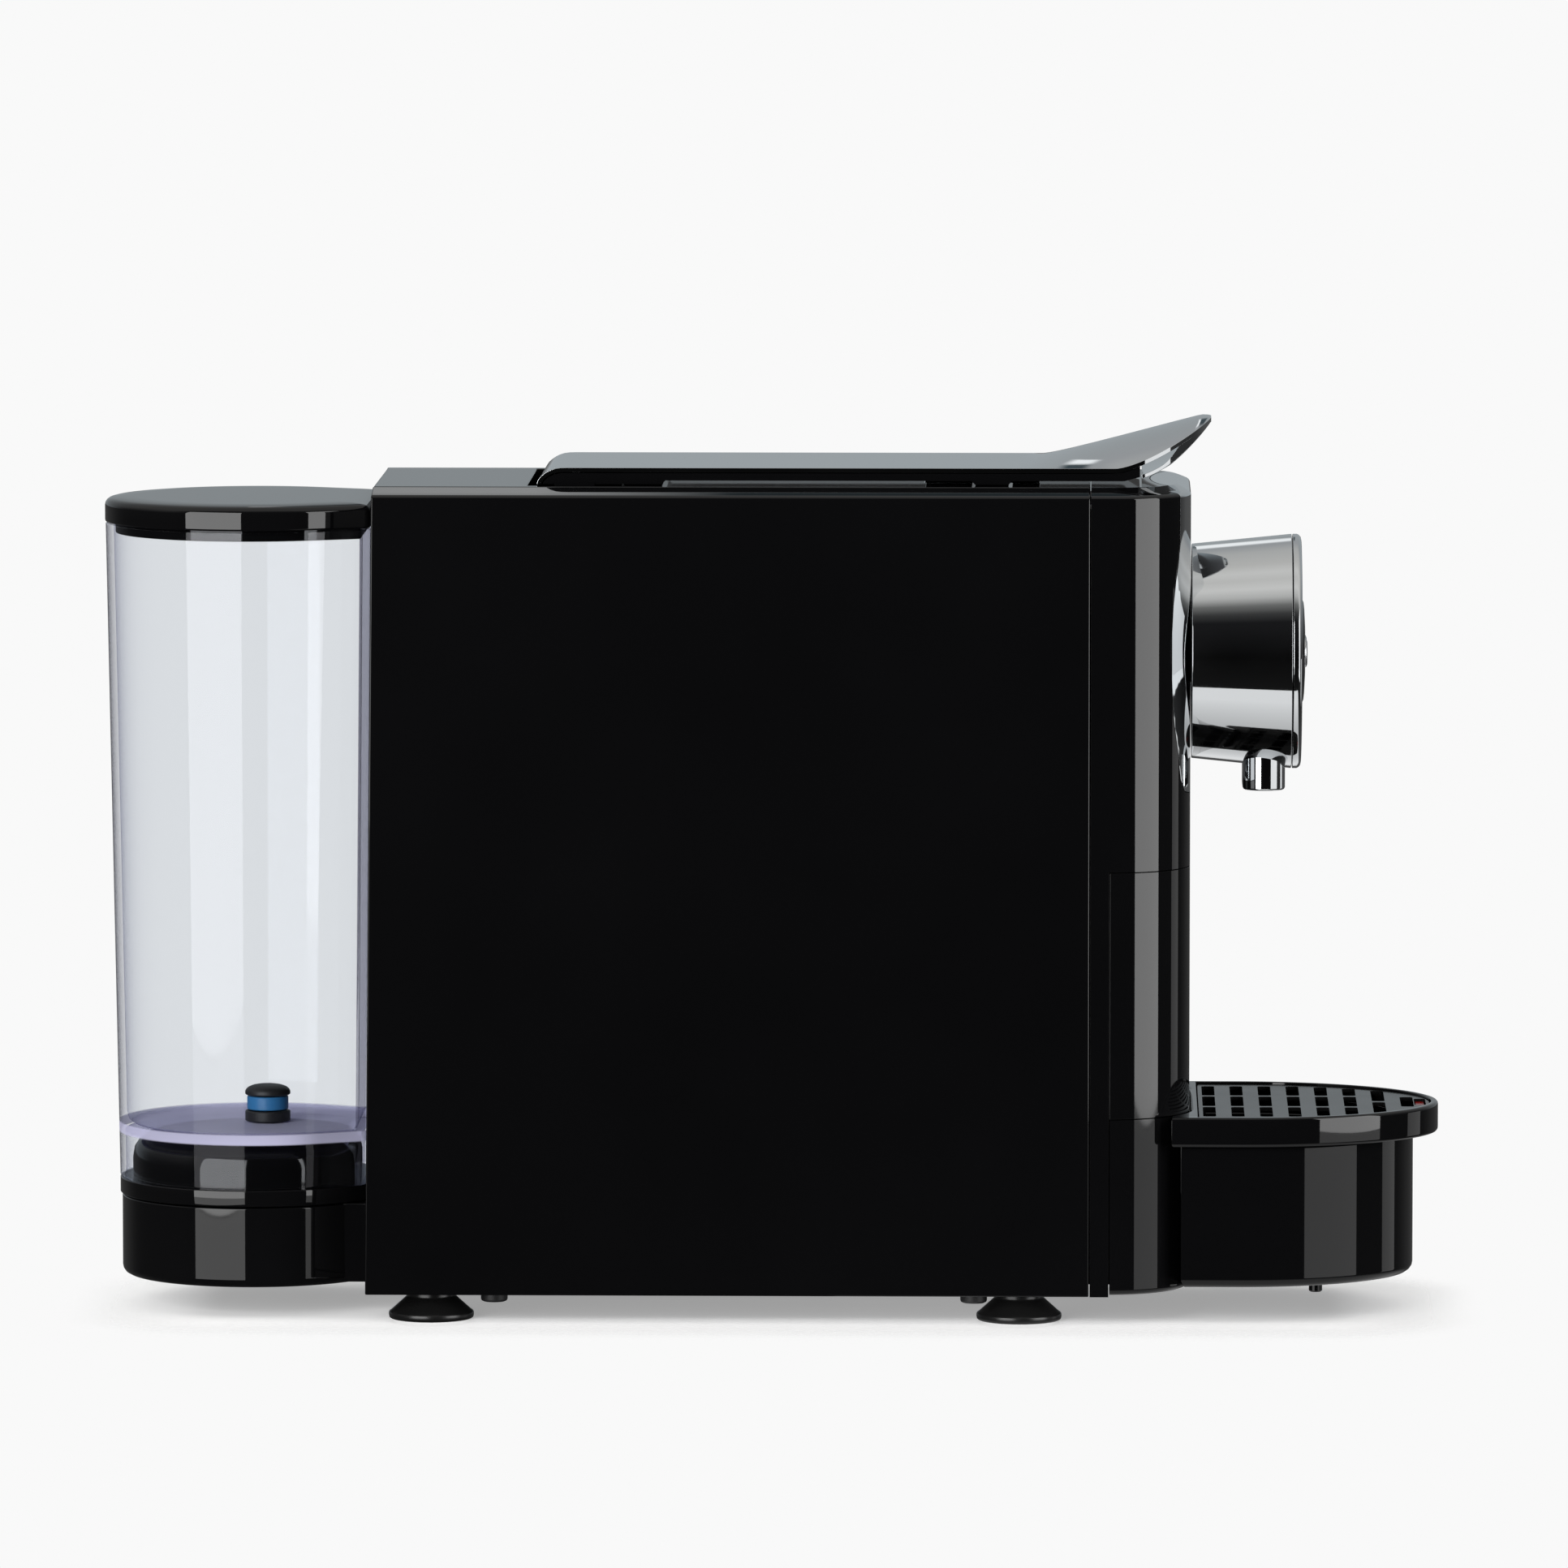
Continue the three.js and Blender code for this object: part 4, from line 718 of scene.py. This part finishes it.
# ---------------------------------------------------------------- pull-out unit

SPLIT = corners("tray_base")[1][2]
(_, _, BAND), (TIP_X, _, TRAY_TOP) = corners("tray_rim")
GRID_Z = corners("drip_grid")[1][2]
RIM_HALF, TUB_HALF, TUB_TIP, TRAY_BACK, TRAY_BEND = 47, 45, 192.6, 119.8, 140


def body_hollow(low, high):
    """The hollow of the unit's front, which continues the body's outline."""
    return prism(front_plan(BAY_X - 5, HALF - WALL, FRONT - WALL, CORNER - WALL), low, high)


def frame_strip(name, x, half, z, opening, opening_z):
    """An upright frame across the unit, with an opening through it."""
    return carve(mesh_object(name, block(x, (-half, half), z)),
                 ("DIFFERENCE", block((90, 110), (-opening, opening), opening_z)))


bin_z, mouth_z = (SPLIT + 0.3, BIN_TOP), (SPLIT + 2.3, BIN_TOP + 1)
shell = carve(mesh_object("shell", prism(front_plan(BAY_X, HALF, FRONT, CORNER), *bin_z)), ("DIFFERENCE", body_hollow(*mouth_z)))
rim = frame_strip("rim", (BAY_X, BAY_X + 2.5), 49, bin_z, 41, mouth_z)
back_rim = frame_strip("back_rim", (BAY_X - 2.4, BAY_X + 0.5), 47.2, bin_z, 41, mouth_z)
bucket = carve(mesh_object("bucket", prism(rounded((30, BAY_X + 1), (-43, 43), 5), SPLIT + 0.8, 128)),
               ("DIFFERENCE", prism(rounded((32, BAY_X + 8), (-41, 41), 4), SPLIT + 2.8, 129)))
stand_in("capsule_bin", merge(shell, rim, back_rim, bucket), edge=0.5, angle=40)


def base_ring(z, inset):
    return [(x, y, z) for x, y in tray_plan(122.7 + min(inset, 1), TUB_HALF, TRAY_BEND, TUB_TIP, inset, notch=-0.5)]


collar = carve(mesh_object("collar", loft(
    [[(x, y, z) for x, y in front_plan(BAY_X, HALF - inset, FRONT - inset, CORNER - inset)]
     for z, inset in ((9, 1.6), (9.3, 0.8), (9.9, 0.25), (10.7, 0), (SPLIT, 0))])),
    ("DIFFERENCE", body_hollow(12.6, SPLIT + 1)))
tub = mesh_object("tub", loft([base_ring(z, inset) for z, inset in (
    (10.6, 3), (10.8, 1.8), (11.5, 0.8), (12.4, 0.2), (13.4, 0), (BAND - 0.7, 0), (BAND - 0.3, 0.4), (BAND - 0.3, 2.2), (12.8, 2.2))]))
tongue = carve(mesh_object("tongue", block((30, BAY_X + 2), (-43, 43), (12, 16))),
               ("DIFFERENCE", block((40, 92), (-33, 33), (11, 17))))
nub_profile = [(0, 7.8), (1.6, 7.8), (2, 8.2), (2, 12), (0, 12)]
nubs = mesh_object("nubs", together(*[lathe(nub_profile, "z", (163, y, 0), 32) for y in (-30, 30)]))
inner_lips = [frame_strip("inner_lip", (BAY_X + start, BAY_X + 2), half, (12, SPLIT), 45.2, (0, 80))
              for start, half in ((-2.4, 47.2), (0.2, 48.5))]
stand_in("tray_base", merge(collar, tub, tongue, nubs, *inner_lips), edge=0.4, angle=40)


def band(z, inset):
    """Outside of the tray's rim."""
    return [(x, y, z) for x, y in tray_plan(TRAY_BACK + inset, RIM_HALF, TRAY_BEND, TIP_X, inset, notch=0.4 + inset)]


def pan(z, inset):
    """Outside of the tray, which stands in the tub."""
    return [(x, y, z) for x, y in tray_plan(TRAY_BACK + inset, TUB_HALF, TRAY_BEND, TUB_TIP, inset, notch=0.4)]


def well(z, half, tip, inset):
    """Inside of the tray or of its rim."""
    return [(x, y, z) for x, y in tray_plan(FRONT + 2.4, half, TRAY_BEND, tip, inset)]


rim_outside = [band(z, inset) for z, inset in (
    (BAND, 0.9), (BAND + 0.15, 0.4), (BAND + 0.6, 0.08), (BAND + 1.1, 0), (TRAY_TOP - 1.1, 0), (TRAY_TOP - 0.5, 0.12),
    (TRAY_TOP - 0.15, 0.45), (TRAY_TOP, 0.95))]
rim_inside = [well(z, RIM_HALF, TIP_X, inset) for z, inset in ((TRAY_TOP, 1.9), (TRAY_TOP - 0.3, 2.2), (TRAY_TOP - 4.2, 2.2))]
rim_foot = [well(z, TUB_HALF, TUB_TIP, 4.8) for z in (TRAY_TOP - 4.2, BAND)]
stand_in("tray_rim", loft(rim_outside + rim_inside + rim_foot, closed=True),
         ("DIFFERENCE", block((184, 196.8), (-8.5, 8.5), (BAND + 1.5, TRAY_TOP + 1))), edge=0.12, angle=50)
stand_in("drip_tray", loft(
    [pan(z, inset) for z, inset in ((38, 3.4), (38.3, 2.9), (38.8, 2.8), (BAND - 0.3, 2.8))]
    + [well(z, TUB_HALF, TUB_TIP, inset) for z, inset in ((BAND - 0.3, 4.8), (41, 4.8), (40.2, 5.2), (39.8, 6.2))]),
    edge=0.12, angle=50)


def slot_reach(x):
    """How far out to the sides the slots reach at a place along the grid."""
    share = clamped((x - TRAY_BEND) / (TIP_X - TRAY_BEND))
    return min(38, 42 * math.sqrt(1 - share * share) - 2.2)


def grid_slots():
    """The slots lie in rows across the tray: three in the wide columns, two or one near the tip."""
    cutters = []
    for k in range(8):
        x = 131.2 + 8.5 * k
        reach = slot_reach(x)
        if k < 6:
            spans = [(-reach, -14.6), (-12, 12), (14.6, reach)]
        else:
            spans = [(-reach, -1.3), (1.3, reach)] if k == 6 else [(-11.8, 11.8)]
        cutters += [prism(rounded((x - 1.9, x + 1.9), span, 0.9), 50, 70) for span in spans]
    cutters.append(prism(rounded((192.9, 196.3), (-7.6, 7.6), 0.8), 50, 70))
    return together(*cutters)


def plate(z, inset):
    """Outline of the grid."""
    return [(x, y, z) for x, y in tray_plan(FRONT + 2.7 + inset, RIM_HALF, TRAY_BEND, TIP_X, 2.5 + inset)]


stand_in("drip_grid", loft([plate(TRAY_TOP - 3.9, 0), plate(GRID_Z - 0.45, 0), plate(GRID_Z - 0.12, 0.12), plate(GRID_Z, 0.45)]),
         ("DIFFERENCE", loft([plate(50, 2.3), plate(GRID_Z - 1.2, 2.3)])), ("DIFFERENCE", grid_slots()),
         edge=0.16, segments=2, angle=40)

# ---------------------------------------------------------------- feet and screws

def upright(prefix):
    """Each CAD node whose name starts so: its name, the middle of its plan, and its lowest and highest point."""
    for node in [n for n in frame["nodes"] if n.startswith(prefix)]:
        low, high = corners(node)
        yield node, ((low[0] + high[0]) / 2, (low[1] + high[1]) / 2), low[2], high[2]


for node, (x, y), _, top in upright("foot_"):
    stand_in(node, lathe([(0, 0.6), (9.5, 0.5), (11.4, 0), (12.1, 0), (12.55, 0.3), (12.7, 0.9), (12.7, 1.7), (12.5, 2.1),
                          (11.9, 2.5), (7.9, 6.1), (7.5, 6.5), (7.4, 6.9), (7.4, top), (0, top)], "z", (x, y, 0), 80),
             edge=0.1, angle=50)
for node, (x, y), foot, top in upright("base_screw_"):
    cross = [block((x - a, x + a), (y - b, y + b), (foot - 1, foot + 0.9)) for a, b in ((2.6, 0.45), (0.45, 2.6))]
    stand_in(node, lathe([(0, foot), (3.2, foot), (3.8, foot + 0.3), (4, foot + 0.8), (4, top), (0, top)], "z", (x, y, 0), 48),
             *[("DIFFERENCE", c) for c in cross], edge=0.06, angle=40)

# ---------------------------------------------------------------- studio

world = bpy.data.worlds.new("studio")
bpy.context.scene.world = world
world.use_nodes = True
n = Nodes(world.node_tree)
ahead, aside, up = n.add("ShaderNodeSeparateXYZ", Vector=n.add("ShaderNodeTexCoord").outputs["Generated"]).outputs
over = n.math("ARCTAN2", up, n.math("MULTIPLY", aside, -1.0))
turn = n.add("ShaderNodeMapRange", Value=over, From_Min=-math.pi, From_Max=math.pi).outputs["Result"]


def ramp(fac, stops):
    """Light that follows a value: each stop is a place from 0 to 1, and a grey or a colour."""
    node = n.add("ShaderNodeValToRGB", Fac=fac)
    points = node.color_ramp.elements
    while len(points) < len(stops):
        points.new(0.5)
    for point, (place, light) in zip(points, stops):
        point.position = place
        point.color = (*light, 1) if isinstance(light, tuple) else (light, light, light, 1)
    return node.outputs["Color"]


def at(degrees):
    """Place on a ramp of an angle that starts level at the near side and grows over the top."""
    return 0.5 + degrees / 360


# Over the machine from the near side to the far one: dark low down, bright overhead, and cooler behind.
around = ramp(turn, [
    (0, (0.40, 0.43, 0.45)), (at(-178), 0.09), (at(-90), 0.02), (at(-2), 0.003), (at(34), (0.012, 0.012, 0.013)),
    (at(43), 0.05), (at(52), (0.18, 0.18, 0.175)), (at(61), (0.54, 0.535, 0.52)), (at(71), (0.72, 0.71, 0.69)),
    (at(82), (0.63, 0.62, 0.60)), (at(92), (0.70, 0.69, 0.67)), (at(104), (0.58, 0.57, 0.55)), (at(125), (0.50, 0.50, 0.49)),
    (at(139), (0.38, 0.39, 0.40)), (at(150), (0.36, 0.38, 0.39)), (1, (0.34, 0.375, 0.395))])
# In front of the machine and behind it the light depends on height alone.
ends = ramp(n.add("ShaderNodeMapRange", Value=up, From_Min=-1, From_Max=1).outputs["Result"], [
    (0, 0.03), (0.46, 0.03), (0.56, (0.10, 0.10, 0.105)), (0.8, (0.5, 0.5, 0.49)), (1, (0.6, 0.6, 0.58))])
end_share = n.add("ShaderNodeMapRange", {"interpolation_type": "SMOOTHSTEP"}, Value=n.math("ABSOLUTE", ahead),
                  From_Min=0.6, From_Max=0.96).outputs["Result"]
# Across a narrow band of angles on the far side, a bright patch lies beside a dark one. The lever's slopes mirror them.
glow_band = ramp(turn, [(0, 0), (at(143), 0), (at(147), 1), (at(155), 1), (at(160), 0), (1, 0)])
sideways = n.add("ShaderNodeMapRange", Value=ahead, From_Min=-0.1, From_Max=0.1).outputs["Result"]
strength = n.math("SUBTRACT", ramp(sideways, [(0.18, 0.33), (0.20, 1), (0.285, 1), (0.36, 0.03), (0.7, 0.03), (0.8, 0.33)]), 0.33)
sky = n.add("ShaderNodeVectorMath", {"operation": "MULTIPLY_ADD"})
for socket, value in zip(sky.inputs, (glow_band, strength, n.blend(end_share, around, ends))):
    n.feed(socket, value)
studio = n.add("ShaderNodeBackground", Color=sky.outputs["Vector"]).outputs["Background"]
backdrop = n.add("ShaderNodeBackground", Color=(0.947, 0.947, 0.947, 1)).outputs["Background"]
seen = n.add("ShaderNodeLightPath").outputs["Is Camera Ray"]
n.add("ShaderNodeOutputWorld", Surface=n.mixed(seen, studio, backdrop))


def softbox(name, near, far, low, high, radiance):
    """An upright panel of light between two places in plan, facing the machine. The camera doesn't see it."""
    wide, tall = math.dist(near, far), high - low
    lamp = bpy.data.lights.new(name, "AREA")
    lamp.shape, lamp.size, lamp.size_y = "RECTANGLE", wide * MM, tall * MM
    lamp.energy = radiance * math.pi * wide * tall * MM * MM
    panel = bpy.data.objects.new(name, lamp)
    bpy.context.scene.collection.objects.link(panel)
    middle = ((near[0] + far[0]) / 2, (near[1] + far[1]) / 2, (low + high) / 2)
    panel.location = [v * MM for v in middle]
    across = Vector((far[0] - near[0], far[1] - near[1], 0)).normalized()
    facing = Vector((-across.y, across.x, 0))
    if facing.dot(Vector(middle)) > 0:
        facing.negate()
    panel.rotation_euler = facing.to_track_quat("-Z", "Y").to_euler()
    panel.visible_camera = False
    return panel


def lights_only(panel, wanted):
    """Keeps the light of a panel to the pieces that are wanted."""
    group = bpy.data.collections.new(panel.name + "_receivers")
    for thing in bpy.context.scene.objects:
        if thing.type == "MESH" and wanted(thing):
            group.objects.link(thing)
    panel.light_linking.receiver_collection = group


def plated(thing):
    return thing.data.materials[0] == MATERIALS["chrome"]


# The panels reach below the floor, which reflections don't show, so the strips in the glossy sides run to their feet.
FRONT_PANEL, REAR_PANEL = ((1140, -1273), (1671, -407)), ((-340, -1640), (-1401, -1042))
PANEL_FOOT, PANEL_HEAD = -330, 1150
lights_only(softbox("softbox_front", *FRONT_PANEL, -126, PANEL_HEAD, 5.0), lambda thing: not plated(thing))
lights_only(softbox("softbox_front_plated", *FRONT_PANEL, -126, PANEL_HEAD, 0.95), plated)
softbox("softbox_front_low", *FRONT_PANEL, PANEL_FOOT, -128, 1.2)
softbox("softbox_rear", *REAR_PANEL, -145, PANEL_HEAD, 5.5)
softbox("softbox_rear_low", *REAR_PANEL, PANEL_FOOT, -147, 2.2)
softbox("softbox_far_right", (1588, 272), (1445, 664), PANEL_FOOT, 90, 0.75)

# The floor shows the machine's shadow and fades into the backdrop round it.
floor = mesh_object("floor", block((-1500, 1500), (-1500, 1500), (-1, 0)))
pale = bpy.data.materials.new("pale_floor")
pale.use_nodes = True
n = Nodes(pale.node_tree)
x, y, _ = n.add("ShaderNodeSeparateXYZ", Vector=n.add("ShaderNodeTexCoord").outputs["Object"]).outputs


def beyond(place, half):
    """How far a place on the floor lies outside the middle of the footprint along an axis, in metres."""
    return n.math("MAXIMUM", n.math("SUBTRACT", n.math("ABSOLUTE", place), half), 0.0)


away = n.add("ShaderNodeVectorMath", {"operation": "LENGTH"},
             Vector=n.add("ShaderNodeCombineXYZ", X=beyond(x, 0.165), Y=beyond(y, 0.03)).outputs["Vector"])
fade = n.add("ShaderNodeMapRange", {"interpolation_type": "SMOOTHSTEP"}, Value=away.outputs["Value"],
             From_Min=0.0, From_Max=0.05)
lit = n.add("ShaderNodeBsdfPrincipled", Base_Color=(0.9, 0.9, 0.9, 1), Roughness=0.9, Specular_IOR_Level=0.0,
            Emission_Color=(1, 1, 1, 1), Emission_Strength=0.32)
gone = n.add("ShaderNodeBsdfTransparent")
n.add("ShaderNodeOutputMaterial", Surface=n.mixed(fade.outputs["Result"], lit.outputs["BSDF"], gone.outputs["BSDF"]))
floor.data.materials.append(pale)
floor.visible_glossy = False

# A card under the machine that only reflections met from above show. It lights the undersides of the bright pieces.
bounce = mesh_object("bounce_card", ([(20, -305, -2), (260, -305, -2), (260, 305, -2), (20, 305, -2)], [(0, 1, 2, 3)]))
card = bpy.data.materials.new("bounce_card")
card.use_nodes = True
n = Nodes(card.node_tree)
_, y, _ = n.add("ShaderNodeSeparateXYZ", Vector=n.add("ShaderNodeTexCoord").outputs["Object"]).outputs
shade = n.add("ShaderNodeMapRange", Value=n.math("ABSOLUTE", y), From_Min=0.06, From_Max=0.2, To_Min=0.6, To_Max=0.88)
low_angle = n.add("ShaderNodeMapRange", Value=n.add("ShaderNodeLayerWeight", Blend=0.5).outputs["Facing"],
                  From_Min=0.45, From_Max=0.7)
light = n.add("ShaderNodeEmission", Color=(1, 1, 1, 1), Strength=shade.outputs["Result"])
n.add("ShaderNodeOutputMaterial", Surface=n.mixed(
    low_angle.outputs["Result"], light.outputs["Emission"], n.add("ShaderNodeBsdfTransparent").outputs["BSDF"]))
bounce.data.materials.append(card)
bounce.visible_camera = bounce.visible_diffuse = bounce.visible_transmission = bounce.visible_shadow = False

bpy.context.scene.view_settings.view_transform = "Standard"
